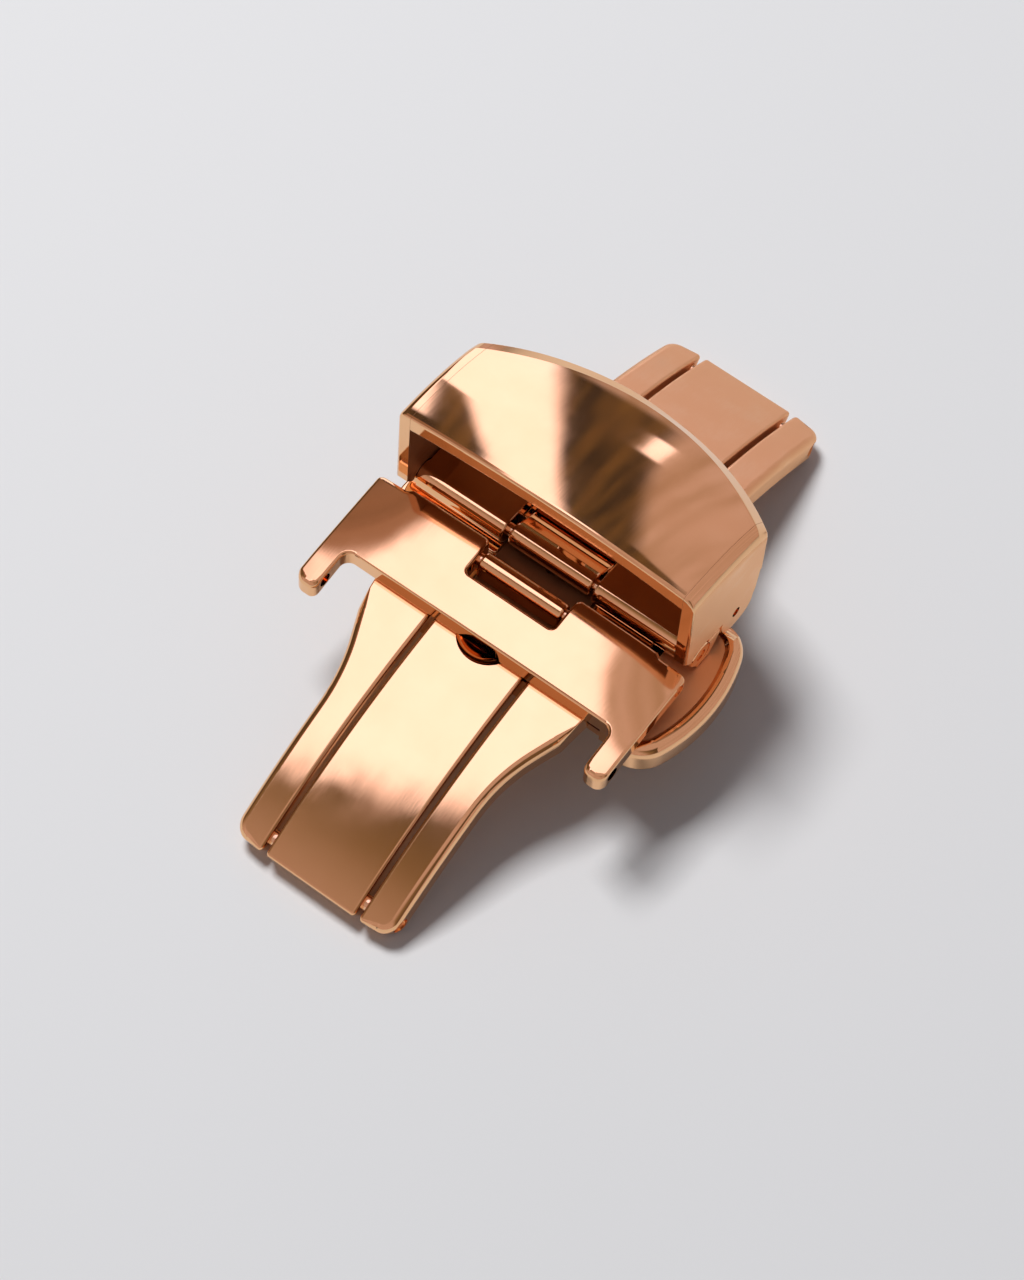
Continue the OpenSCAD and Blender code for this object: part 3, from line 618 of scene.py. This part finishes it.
def hood_upper(x, d):
    """The hood's skin at x from the front edge over the top to the back, moved in by d at both ends."""
    rho = outer_rho(x)
    y0 = HOOD_Y + d
    yb = back_y(x) - d

    def skin(y):
        return Vector((y, HOOD_CZ + math.sqrt(rho ** 2 - (y - HOOD_Y) ** 2)))

    # The rear bevel runs from q2 down to q3, and is lower on the right.
    q1 = skin(y0)
    q2 = skin(min(yb - 0.35, BEVEL_TOP_Y - BEVEL_TOP_BOW * x ** 2 - d))
    foot = APEX_Z - BEVEL_DROP + BEVEL_D - math.hypot(x, back_y(x) - BEVEL_C)
    foot += BEVEL_LIFT * min(1.0, max(0.0, (1.5 - x) / 6))
    q3 = Vector((yb, min(foot, skin(yb).y - 0.08, q2.y - 0.1)))
    low_f = Vector((y0, q1.y - 1.0))
    low_b = Vector((yb, q3.y - 0.6))
    soft = 0.1 + 0.5 * min(1.0, max(0.0, (abs(x) - 5.0) / 3.0)) ** 2
    f1 = fillet(low_f, q1, skin(y0 + 0.8), 0.22, 5)
    f2 = fillet(skin(q2.x - 0.7), q2, q3, soft, 4)
    f3 = fillet(q2, q3, low_b, 0.14, 4)
    ya, ye = f1[-1].x, f2[0].x
    top = [skin(ya + (ye - ya) * k / ARC_N) for k in range(1, ARC_N)]
    return f1 + top + f2 + f3


def roof_lower(x):
    """The ceiling of the tunnel at x, from the back edge to the front edge."""
    rho = HOOD_R - 1.1 - ROOF_R + math.sqrt(ROOF_R ** 2 - x ** 2)
    yb = back_y(x)

    def skin(y):
        return Vector((y, HOOD_CZ + math.sqrt(rho ** 2 - (y - HOOD_Y) ** 2)))

    q4, q0 = skin(yb), skin(HOOD_Y)
    f4 = fillet(q4 + Vector((0, 0.6)), q4, skin(yb - 0.6), 0.12, 3)
    f0 = fillet(skin(HOOD_Y + 0.6), q0, q0 + Vector((0, 0.6)), 0.14, 3)
    ya, ye = f4[-1].x, f0[0].x
    mid = [skin(ya + (ye - ya) * k / ARC_N) for k in range(1, ARC_N)]
    return f4 + mid + f0


def wall_lower(x, d):
    """The lower outline of a side wall from its back edge round to the front, moved in by d."""
    wall = CROWN + 0.5
    py, pz, _ = HOOD_PIN
    heel_lo = pz - LOBE_R
    yb = back_y(x)
    ey, ez = REAR_KNUCKLE[:2]
    er = EAR_R + 0.08
    # The strap's way in rises a little from the heel's back to the hood's back edge. The line's first and
    # last points only give the directions of its ends.
    entry_y, entry_z, entry_slope = 6.58, CROWN + 2, 4.72
    line = [Vector((yb, 10.6)), Vector((yb, entry_z + (yb - entry_y) / entry_slope)),
            Vector((entry_y, entry_z)), Vector((6.4, wall))]
    line += arc(HEEL_Y - HEEL_R, heel_lo + HEEL_R, HEEL_R, 0, -90)
    side = math.degrees(math.asin((wall - pz) / LOBE_R))
    line += arc(py, pz, LOBE_R, -90, -180 - side)
    e1 = math.degrees(math.asin((wall - ez) / er))
    e2 = 180 - math.degrees(math.asin((CROWN + 0.25 - ez) / er))
    line += arc(ey, ez, er, e1, e2)
    line += [Vector((HOOD_Y + 0.5, CROWN + 0.25)), Vector((HOOD_Y, CROWN + 0.8)), Vector((HOOD_Y, 12.0))]
    return inset_open(line, d)


def inset_open(line, d):
    """The inner points of an open clockwise line, moved to its inner side by d."""
    out = []
    for a, p, b in zip(line, line[1:], line[2:]):
        e1, e2 = (p - a).normalized(), (b - p).normalized()
        n1, n2 = Vector((-e1.y, e1.x)), Vector((-e2.y, e2.x))
        n = n1 + n2
        n = n.normalized() if n.length > 1e-6 else n1
        out.append(p - n * (d / max(0.35, n.dot(n1))))
    return out


def wall_places(s):
    """The places along X of a side wall's rings, from its inner face round the edge to its flat side."""
    edge, crease = edge_of(s)
    places = [HOOD_IN, HOOD_IN + 0.01]
    if crease > HOOD_IN + 0.03:
        places.append(crease - 0.01)
    tilt = math.degrees(math.asin(crease / CROWN_R))
    # The angles round the edge are finer towards the flat side.
    for a in (tilt, tilt + 0.8, *range(12, 61, 6), 65, 70, 74, 77.5, 80.5, 83, 85.2, 87, 88.5):
        x = HOOD_HW - edge + edge * math.sin(math.radians(a))
        if x > places[-1] + 0.004:
            places.append(x)
    return places + [HOOD_HW]


def side_wall(bm, s):
    """The skin goes on round the edge and ends in a flat side face, on the side s."""
    turn = 0.15
    lower = roof_lower(HOOD_IN)
    rings = []
    for x in wall_places(s):
        q = max(0.0, (x - (HOOD_HW - turn)) / turn)
        d = turn * (1 - math.sqrt(max(0.0, 1 - min(1.0, q) ** 2)))
        upper = hood_upper(s * x, d)
        back_pt = Vector((back_y(x) - d, min(lower[0].y, upper[-1].y - 0.05)))
        front_pt = Vector((HOOD_Y + d, lower[-1].y))
        if x == HOOD_IN:
            back_pt, front_pt = lower[0], lower[-1]
        pts = upper + [back_pt] + wall_lower(x, d) + [front_pt]
        rings.append([bm.verts.new((s * x, p.x, p.y)) for p in pts])
    for a, b in zip(rings, rings[1:]):
        for i in range(len(a)):
            j = (i + 1) % len(a)
            face = (a[i], b[i], b[j], a[j])
            bm.faces.new(face if s > 0 else face[::-1])
    bm.faces.new(rings[-1] if s < 0 else rings[-1][::-1])
    # The inner face of the wall, below the ceiling.
    ceiling = [bm.verts.new((s * HOOD_IN, p.x, p.y)) for p in lower[1:-1]]
    bm.faces.new(rings[0][len(upper):] + ceiling[::-1])


def hood():
    """The skin and the ceiling as rings along X, closed by the two side walls."""
    bm = bmesh.new()
    xs = [0.0]
    for s in (-1, 1):
        crease = min(HOOD_IN, edge_of(s)[1])
        xs += [s * crease * k / 22 for k in range(1, 22)]
        if crease < HOOD_IN:
            xs += [s * x for x in (crease - 0.01, crease, crease + 0.01)]
        xs += [s * (HOOD_IN - 0.01), s * HOOD_IN]
    xs = sorted(set(xs))
    rings = []
    for x in xs:
        pts = hood_upper(x, 0) + roof_lower(x)
        rings.append([bm.verts.new((x, p.x, p.y)) for p in pts])
    for a, b in zip(rings, rings[1:]):
        m = len(a)
        for i in range(m):
            j = (i + 1) % m
            bm.faces.new((a[i], b[i], b[j], a[j]))
    for s in (-1, 1):
        side_wall(bm, s)
    bmesh.ops.remove_doubles(bm, verts=bm.verts[:], dist=1e-4)
    bmesh.ops.recalc_face_normals(bm, faces=bm.faces[:])
    py, pz, pr = HOOD_PIN
    holes = [rod(py, pz, pr, x0, x1) for x0, x1 in ((-11, -9.0), (9.0, 11))]
    return make("hood_polished", [carve([bm], holes)], 42)


# Button
def button():
    """A D shaped cap with a recessed face and a raised rim, scooped where the hood's lobe is."""
    half = 5.15
    tip_r = 2.2
    tip_a = math.degrees(math.asin((half - tip_r) / (BUTTON_R - tip_r)))
    tip_x = (BUTTON_R - tip_r) * math.cos(math.radians(tip_a))
    tip_y = half - tip_r
    x_in = BUTTON_IN - BUTTON_CX
    pts = [Vector((x_in, -half)), Vector((tip_x - 0.3, -half)), Vector((tip_x - GUARD, -half))]
    pts += arc(tip_x, -tip_y, tip_r, -90, -tip_a, 5)
    pts += arc(0, 0, BUTTON_R, -tip_a, tip_a, 1.6)[1:-1]
    pts += arc(tip_x, tip_y, tip_r, tip_a, 90, 5)
    pts += [Vector((tip_x - GUARD, half)), Vector((tip_x - 0.3, half)), Vector((x_in, half))]
    top = BUTTON_H
    rim = 1.05
    soft = 0.6
    # The cap's profile from its lower edge over the soft rim down to the recess: how far in, and how high.
    profile = [(0.14, 0.0), (0.06, 0.02), (0.02, 0.06), (0.0, 0.14), (0.0, 0.16), (0.0, top - soft - 0.02)]
    for k in range(9):
        a = math.pi / 2 * k / 8
        profile.append((soft * (1 - math.cos(a)), top - soft * (1 - math.sin(a))))
    profile += [(rim - 0.26, top), (rim - 0.22, top - 0.015), (rim - 0.19, top - 0.05),
                (rim - 0.06, top - BUTTON_DEEP + 0.04), (rim - 0.03, top - BUTTON_DEEP + 0.01),
                (rim + 0.02, top - BUTTON_DEEP)]
    bm = bmesh.new()
    rings = []

    def shrink(d):
        out = []
        count = len(pts)
        for i, p in enumerate(pts):
            a, b = pts[i - 1], pts[(i + 1) % count]
            e1, e2 = (p - a).normalized(), (b - p).normalized()
            n = Vector((e1.y + e2.y, -e1.x - e2.x)).normalized()
            q = p - n * (d / max(0.5, n.dot(Vector((e1.y, -e1.x)))))
            if abs(p.x - x_in) < 1e-6:
                q = Vector((x_in, math.copysign(half - d, p.y)))
            out.append(q)
        return out

    for d, h in profile:
        rings.append([bm.verts.new((BUTTON_CX + p.x, BUTTON_Y + p.y, BUTTON_TOP - BUTTON_H + h))
                      for p in shrink(d)])
    count = len(pts)
    for a, b in zip(rings, rings[1:]):
        for i in range(count):
            j = (i + 1) % count
            bm.faces.new((a[i], a[j], b[j], b[i]))
    bm.faces.new(rings[0][::-1])
    bm.faces.new(rings[-1])
    slice_at(bm, steps(-half + BUTTON_Y, half + BUTTON_Y, 0.5), Vector((0, 1, 0)))
    bmesh.ops.recalc_face_normals(bm, faces=bm.faces[:])
    block = rectangle(BUTTON_IN, BUTTON_IN + FOOT_W, FOOT_FRONT, FOOT_BACK, 0.1)
    foot = prism(block, FOOT_LO, BUTTON_TOP - BUTTON_H + 0.2, 0.05, 0, 2)
    return make("button_right_polished", [carve([bm], button_cutters()), foot], 40)


def button_cutters():
    """Room for the hood's lobe and for its heel when the hood is up, as in the CAD model, and two trims."""
    py, pz, _ = HOOD_PIN
    x0, x1 = HOOD_IN - 0.2, HOOD_HW + 0.65
    scoop = rod(py, pz, LOBE_R + 0.06, x0, x1)
    dy, dz = HEEL_Y - HEEL_R - py, HEEL_R - LOBE_R
    heel_y = py + dy * math.cos(FLIP) + dz * math.sin(FLIP)
    heel_z = pz - dy * math.sin(FLIP) + dz * math.cos(FLIP)
    heel = rod(heel_y, heel_z, HEEL_R + 0.06, x0, x1)
    # The inner front corner stays under the lug plate.
    corner = [Vector(p) for p in ((7.0, -7.0), (9.6, -7.0), (9.6, -6.15), (LUG_IN, -5.25), (7.0, -5.25))]
    trim = prism(corner, BUTTON_TOP - BUTTON_H - 1, BUTTON_TOP + 1)
    # The recess is open towards the strip.
    inner = rectangle(BUTTON_IN - 0.9, BUTTON_IN + 0.1, -8.0, 8.0)
    mouth = prism(inner, BUTTON_TOP - BUTTON_DEEP - 0.02, BUTTON_TOP + 1)
    return [scoop, heel, trim, mouth]


# Floor cheeks
def floor_cheeks():
    """A rib under each side edge of the floor and a pad outside that reaches down to the button's face."""
    y, z = REAR_KNUCKLE[:2]
    py, pz, pr = HOOD_PIN
    lo, hi = CROWN - 0.4, CROWN + 0.42
    back = py - LOBE_R - 0.08
    foot = [(y - 0.25, CHEEK_FOOT), (y + 0.98, CHEEK_FOOT), (back - 0.2, lo + 0.1), (back, FLOOR_LO)]
    pad = foot + [(back, hi), (y, hi), (y - 0.25, lo)]
    inner = foot + [(y, FLOOR_LO), (y - 0.25, lo)]
    rib = [(y, lo), (FLOOR_BACK, lo), (FLOOR_BACK, FLOOR_LO), (y, FLOOR_LO)]
    parts = []
    layers = ((pad, FLOOR_HW + 0.02, HOOD_HW, 0.07), (inner, FLOOR_HW - 0.5, FLOOR_HW + 0.1, 0.0),
              (rib, CHEEK_IN, FLOOR_HW, 0.0))
    for s in (-1, 1):
        for line, x0, x1, r in layers:
            outline = rounded([(a, b, 0.06) for a, b in line])
            x0, x1 = sorted((s * x0, s * x1))
            r_lo, r_hi = (0.0, r) if s > 0 else (r, 0.0)
            solid = prism(outline, x0, x1, r_lo, r_hi, 3, (), along_x)
            tools = [rod(y, z, EAR_R, x0 - 1, x1 + 1), rod(py, pz, pr + 0.03, x0 - 1, x1 + 1)]
            parts.append(carve([solid], tools))
    return make("floor_cheeks_polished", parts)


# Each drawn piece replaces the CAD node of the same name and rides on that node's body.
pieces = {
    "base_strip": (base_strip(), "base"),
    "front_fork": (front_fork(), "front_arm"),
    "lug_plate": (lug_plate(), "lugs"),
    "rear_fork": (rear_fork(), "rear_arm"),
    "hood_floor": (hood_floor(), "floor"),
    "hood": (hood(), "hood_cover"),
    "floor_cheeks": (floor_cheeks(), "floor"),
    "button_right": (button(), "right_button"),
}
for node, (piece, body) in pieces.items():
    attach(piece, body)
    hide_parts(node)


# Materials
ROSE = (0.93, 0.55, 0.29)
PIN_ROSE = (0.9, 0.57, 0.34)
# A darker rose for the tunnel and the room round the knuckles: painted shade, on a rough finish.
SHADE_PAINTED_ROSE = (0.42, 0.2, 0.09)
# The strength of the faint waves in every polished face.
WAVE = 0.15


def metal(name, color, rough, streak=0.5):
    """Metal whose colour and roughness drift slowly, with fine polishing lines along Y and faint waves."""
    mat = bpy.data.materials.new(name)
    mat.use_nodes = True
    nt = mat.node_tree
    nodes, links = nt.nodes, nt.links
    bsdf = nodes["Principled BSDF"]
    bsdf.inputs["Metallic"].default_value = 1.0
    coord = nodes.new("ShaderNodeTexCoord")
    # The scales of all noise here are counts in a metre.
    stretch = nodes.new("ShaderNodeMapping")
    stretch.inputs["Scale"].default_value = (9000, 260, 3000)
    links.new(coord.outputs["Object"], stretch.inputs["Vector"])

    def noise(source, scale, detail, grain=0.5):
        node = nodes.new("ShaderNodeTexNoise")
        node.inputs["Scale"].default_value = scale
        node.inputs["Detail"].default_value = detail
        node.inputs["Roughness"].default_value = grain
        links.new(source, node.inputs["Vector"])
        return node.outputs["Fac"]

    lines = noise(stretch.outputs["Vector"], 1.0, 4.0, 0.65)
    slow = noise(coord.outputs["Object"], 180.0, 2.0)
    patch = noise(coord.outputs["Object"], 420.0, 3.0)

    def bump(height, strength, distance):
        node = nodes.new("ShaderNodeBump")
        node.inputs["Strength"].default_value = strength
        node.inputs["Distance"].default_value = distance
        links.new(height, node.inputs["Height"])
        return node

    tint = nodes.new("ShaderNodeMix")
    tint.data_type = "RGBA"
    tint.inputs["A"].default_value = (color[0], color[1], color[2], 1)
    tint.inputs["B"].default_value = (color[0] * 0.96, color[1] * 0.9, color[2] * 0.85, 1)
    links.new(patch, tint.inputs["Factor"])
    links.new(tint.outputs["Result"], bsdf.inputs["Base Color"])

    level = nodes.new("ShaderNodeMapRange")
    level.inputs["From Min"].default_value = 0.3
    level.inputs["From Max"].default_value = 0.75
    level.inputs["To Min"].default_value = rough * 0.7
    level.inputs["To Max"].default_value = rough * 1.5
    mix = nodes.new("ShaderNodeMath")
    mix.operation = "MULTIPLY_ADD"
    mix.inputs[1].default_value = streak * 0.6
    links.new(lines, mix.inputs[0])
    links.new(patch, mix.inputs[2])
    links.new(mix.outputs["Value"], level.inputs["Value"])
    links.new(level.outputs["Result"], bsdf.inputs["Roughness"])

    fine = bump(lines, 0.015 * streak, 0.02 * MM)
    broad = bump(slow, WAVE, 0.1 * MM)
    links.new(fine.outputs["Normal"], broad.inputs["Normal"])
    links.new(broad.outputs["Normal"], bsdf.inputs["Normal"])
    return mat


rose = metal("rose_gold_polished", ROSE, 0.045)
satin = metal("rose_gold_satin", ROSE, 0.34, 0.9)
# The inside finish is rough, and its darker colour is painted shade in the hollows.
inside = metal("rose_gold_inside_painted_shade", SHADE_PAINTED_ROSE, 0.4, 0.8)
pins = metal("pin_gold_polished", PIN_ROSE, 0.12, 0.8)
for piece, _ in pieces.values():
    piece.data.materials.clear()
    piece.data.materials.append(rose)


def finish_faces(name, material, test):
    """Gives one piece's faces that pass the test another finish. The test gets the face's middle in mm and
    its normal."""
    mesh = pieces[name][0].data
    mesh.materials.append(material)
    for face in mesh.polygons:
        c = face.center / MM
        if test(Vector((c.x - MID, c.y, c.z)), face.normal):
            face.material_index = len(mesh.materials) - 1


# The rear ends of the strip and the arms are satin from this y on.
SATIN_Y = 7.4


def rear_end(c, n):
    return c.y > SATIN_Y


def flat_side(c, n):
    return abs(n.x) > 0.93 and abs(c.x) > HOOD_HW - 0.1


# The rear ends, the hood's sides and the button's recess are satin. The tunnel and the room round the
# knuckles are left unpolished, and their darker colour is painted shade.
finish_faces("base_strip", satin, rear_end)
finish_faces("rear_fork", satin, rear_end)
finish_faces("hood", satin, flat_side)
finish_faces("floor_cheeks", satin, flat_side)
finish_faces("button_right", satin, lambda c, n: n.z > 0.9 and c.z < BUTTON_TOP - 0.2)
finish_faces("base_strip", inside, lambda c, n: abs(c.y) < 4.75 and c.z < WELL_Z + 0.9)
finish_faces("front_fork", inside, lambda c, n: abs(c.x) < 3.2 and c.z < 7.3 and c.y > -3.7)
finish_faces("rear_fork", inside, lambda c, n: abs(c.x) < 3.2 and c.z < 7.0 and c.y < 3.7)
finish_faces("hood", inside, lambda c, n: abs(c.x) < HOOD_IN + 0.02
             and (n.z < -0.3 or abs(c.x) > HOOD_IN - 0.02))
PIN_NODES = {"housing_rivets", "front_hinge_pin", "rear_hinge_pin", "front_cross_pin", "rear_cross_pin",
             "hood_pins", "slider_rivets_right"}
for node, obj in frame["nodes"].items():
    if node in pieces:
        continue
    for slot in obj.material_slots:
        slot.material = pins if node in PIN_NODES else rose


# Floor
def floor():
    """A plain pale floor, in metres, that keeps the clasp's shadow."""
    mesh = bpy.data.meshes.new("floor")
    s = 0.6
    mesh.from_pydata([(-s, -s, 0), (s, -s, 0), (s, s, 0), (-s, s, 0)], [], [(0, 1, 2, 3)])
    mat = bpy.data.materials.new("floor_pale")
    mat.use_nodes = True
    bsdf = mat.node_tree.nodes["Principled BSDF"]
    bsdf.inputs["Base Color"].default_value = (0.72, 0.72, 0.73, 1)
    bsdf.inputs["Roughness"].default_value = 0.9
    bsdf.inputs["Specular IOR Level"].default_value = 0.0
    mesh.materials.append(mat)
    obj = link("floor", mesh)


floor()


# World and lamp
def world():
    """A studio of soft panels: one tall pale panel that leans over the part, a dark stretch beside it with
    faint folds, and pale walls all round. Places are components x, y and z of a ray's direction."""
    panel_light = (1.8, 1.66, 2.15)
    wall_pale, wall_fold = (0.62, 0.50, 0.54), (0.44, 0.33, 0.29)
    deep, deep_fold = (0.05, 0.04, 0.035), (0.19, 0.125, 0.06)
    front_shade = (0.25, 0.18, 0.11)
    corner, corner_fold = (0.38, 0.24, 0.2), (0.26, 0.16, 0.12)
    fill = (0.17, 0.17, 0.18)
    backdrop = (0.8, 0.8, 0.81)
    w = bpy.data.worlds.new("studio")
    w.use_nodes = True
    bpy.context.scene.world = w
    nodes, links = w.node_tree.nodes, w.node_tree.links

    def put(socket, value):
        if isinstance(value, (int, float)):
            socket.default_value = value
        else:
            links.new(value, socket)

    def calc(op, a, b=0.0, c=0.0):
        node = nodes.new("ShaderNodeMath")
        node.operation = op
        for socket, value in zip(node.inputs, (a, b, c)):
            put(socket, value)
        return node.outputs[0]

    def times(*factors):
        out = factors[0]
        for factor in factors[1:]:
            out = calc("MULTIPLY", out, factor)
        return out

    def distance(v, middle):
        return calc("ABSOLUTE", calc("SUBTRACT", v, middle))

    def ramp(v, lo, hi, a=0.0, b=1.0, kind="SMOOTHSTEP"):
        node = nodes.new("ShaderNodeMapRange")
        node.interpolation_type = kind
        for name, value in (("Value", v), ("From Min", lo), ("From Max", hi), ("To Min", a), ("To Max", b)):
            put(node.inputs[name], value)
        return node.outputs["Result"]

    def blend(share, a, b):
        node = nodes.new("ShaderNodeMix")
        node.data_type = "RGBA"
        put(node.inputs["Factor"], share)
        for name, value in (("A", a), ("B", b)):
            if isinstance(value, tuple):
                node.inputs[name].default_value = (*value, 1)
            else:
                links.new(value, node.inputs[name])
        return node.outputs["Result"]

    coord = nodes.new("ShaderNodeTexCoord")
    split = nodes.new("ShaderNodeSeparateXYZ")
    links.new(coord.outputs["Generated"], split.inputs["Vector"])
    x, y, z = (split.outputs[k] for k in "XYZ")
    stretch = nodes.new("ShaderNodeMapping")
    stretch.inputs["Scale"].default_value = (75, 1.6, 1.2)
    links.new(coord.outputs["Generated"], stretch.inputs["Vector"])
    folds = nodes.new("ShaderNodeTexNoise")
    folds.inputs["Scale"].default_value = 1.0
    folds.inputs["Detail"].default_value = 2.0
    links.new(stretch.outputs["Vector"], folds.inputs["Vector"])
    fold = ramp(folds.outputs["Fac"], 0.35, 0.7)

    # The tall panel, between a bent right edge, a left edge in steps and a leaning near edge.
    bend = calc("MINIMUM", calc("MULTIPLY_ADD", y, 0.75, -0.1), calc("MULTIPLY_ADD", y, 0.2, 0.166))
    right = calc("ADD", x, calc("MAXIMUM", bend, 0.2))
    left = calc("ADD", calc("ADD", x, ramp(y, 0.3, 0.5, 0.36, 0.39, "LINEAR")),
                calc("ADD", ramp(y, 0.5, 0.7, 0.0, 0.055, "LINEAR"), ramp(y, 0.69, 0.74, 0.0, 0.3)))
    lean = times(calc("MAXIMUM", calc("MINIMUM", calc("ADD", x, 0.275), 0.05), -0.05), 4.5)
    near = calc("SUBTRACT", calc("ADD", y, 0.36), lean)
    panel = times(ramp(right, 0.015, -0.015), ramp(left, 0.0, 0.03), ramp(near, -0.03, 0.03),
                  ramp(z, 0.02, 0.1))
    # A narrow pane outside the tall one, and a small one high behind the part.
    pane = times(ramp(x, -0.455, -0.47), ramp(x, -0.62, -0.58), ramp(y, 0.49, 0.52), ramp(y, 0.72, 0.68))
    spot = times(ramp(distance(x, -0.232), 0.014, 0.007), ramp(distance(z, 0.3), 0.1, 0.07),
                 ramp(y, 0.5, 0.6))
    panel = calc("MAXIMUM", panel, calc("MAXIMUM", pane, spot))
    # The dark stretch on the left, which gives way at the near right and at the front.
    turn = times(calc("MAXIMUM", calc("SUBTRACT", 0.53, y), 0.0), 1.3)
    side = calc("SUBTRACT", calc("ADD", x, calc("MULTIPLY_ADD", y, 0.19, 0.052)), turn)
    dark = times(ramp(side, 0.015, -0.015), ramp(z, 0.0, 0.1))
    near_right = times(ramp(y, 0.42, 0.34), ramp(x, -0.23, -0.2), ramp(z, 0.7, 0.85))
    dark = times(calc("SUBTRACT", dark, times(dark, near_right)), ramp(y, -0.75, -0.45))
    wall = blend(fold, wall_pale, wall_fold)
    shade = blend(fold, deep, deep_fold)
    shade = blend(ramp(y, -0.15, -0.6), shade, front_shade)
    high_left = times(ramp(z, 0.75, 0.88), ramp(y, 0.42, 0.34), ramp(x, -0.3, -0.35))
    shade = blend(high_left, shade, blend(fold, corner, corner_fold))
    color = blend(dark, wall, shade)
    color = blend(panel, color, panel_light)
    path = nodes.new("ShaderNodeLightPath")
    color = blend(path.outputs["Is Diffuse Ray"], color, fill)
    color = blend(path.outputs["Is Camera Ray"], color, backdrop)
    links.new(color, nodes["Background"].inputs["Color"])
    nodes["Background"].inputs["Strength"].default_value = 1.0


world()


def key_lamp():
    """One soft square lamp high on the left, in metres and watts, that metal doesn't mirror."""
    place, target = Vector((-0.206, 0.0475, 0.453)), Vector((0, 0, 0.005))
    data = bpy.data.lights.new("key", "AREA")
    data.shape = "SQUARE"
    data.size = 0.16
    data.energy = 2.3
    obj = link("key", data)
    obj.location = place
    obj.rotation_euler = (target - place).to_track_quat("-Z", "Y").to_euler()
    obj.visible_glossy = False
    obj.visible_camera = False


key_lamp()


# Camera

# The camera that was fitted to the photograph. Its place is in mm from the strap's middle, and its focal
# length in the photo's pixels.
CAMERA_AZIMUTH = 32.01913
CAMERA_ELEVATION = 59.80663
CAMERA_ROLL = 5.50430
CAMERA_PLACE = (62.72739, -102.80638, 206.49911)
FOCAL_PX = 4212.185
PHOTO_HEIGHT_PX = 1280
SENSOR = 36


def camera():
    """The fitted camera: back points from the part to the camera, and up and right are turned by the roll."""
    az, el, roll = (math.radians(a) for a in (CAMERA_AZIMUTH, CAMERA_ELEVATION, CAMERA_ROLL))
    back = Vector((math.sin(az) * math.cos(el), -math.cos(az) * math.cos(el), math.sin(el)))
    level = Vector((math.cos(az), math.sin(az), 0))
    above = back.cross(level)
    right = level * math.cos(roll) + above * math.sin(roll)
    up = above * math.cos(roll) - level * math.sin(roll)
    cam = bpy.data.cameras.new("camera")
    cam.sensor_width = SENSOR
    cam.sensor_fit = "AUTO"
    cam.lens = FOCAL_PX * SENSOR / PHOTO_HEIGHT_PX
    cam.clip_start = 0.01
    cam.clip_end = 10
    x, y, z = CAMERA_PLACE
    m = Matrix((right, up, back)).transposed().to_4x4()
    m.translation = Vector((x + MID, y, z)) * MM
    obj = link("camera", cam)
    obj.matrix_world = m
    bpy.context.scene.camera = obj


camera()
bpy.context.scene.view_settings.view_transform = "Standard"
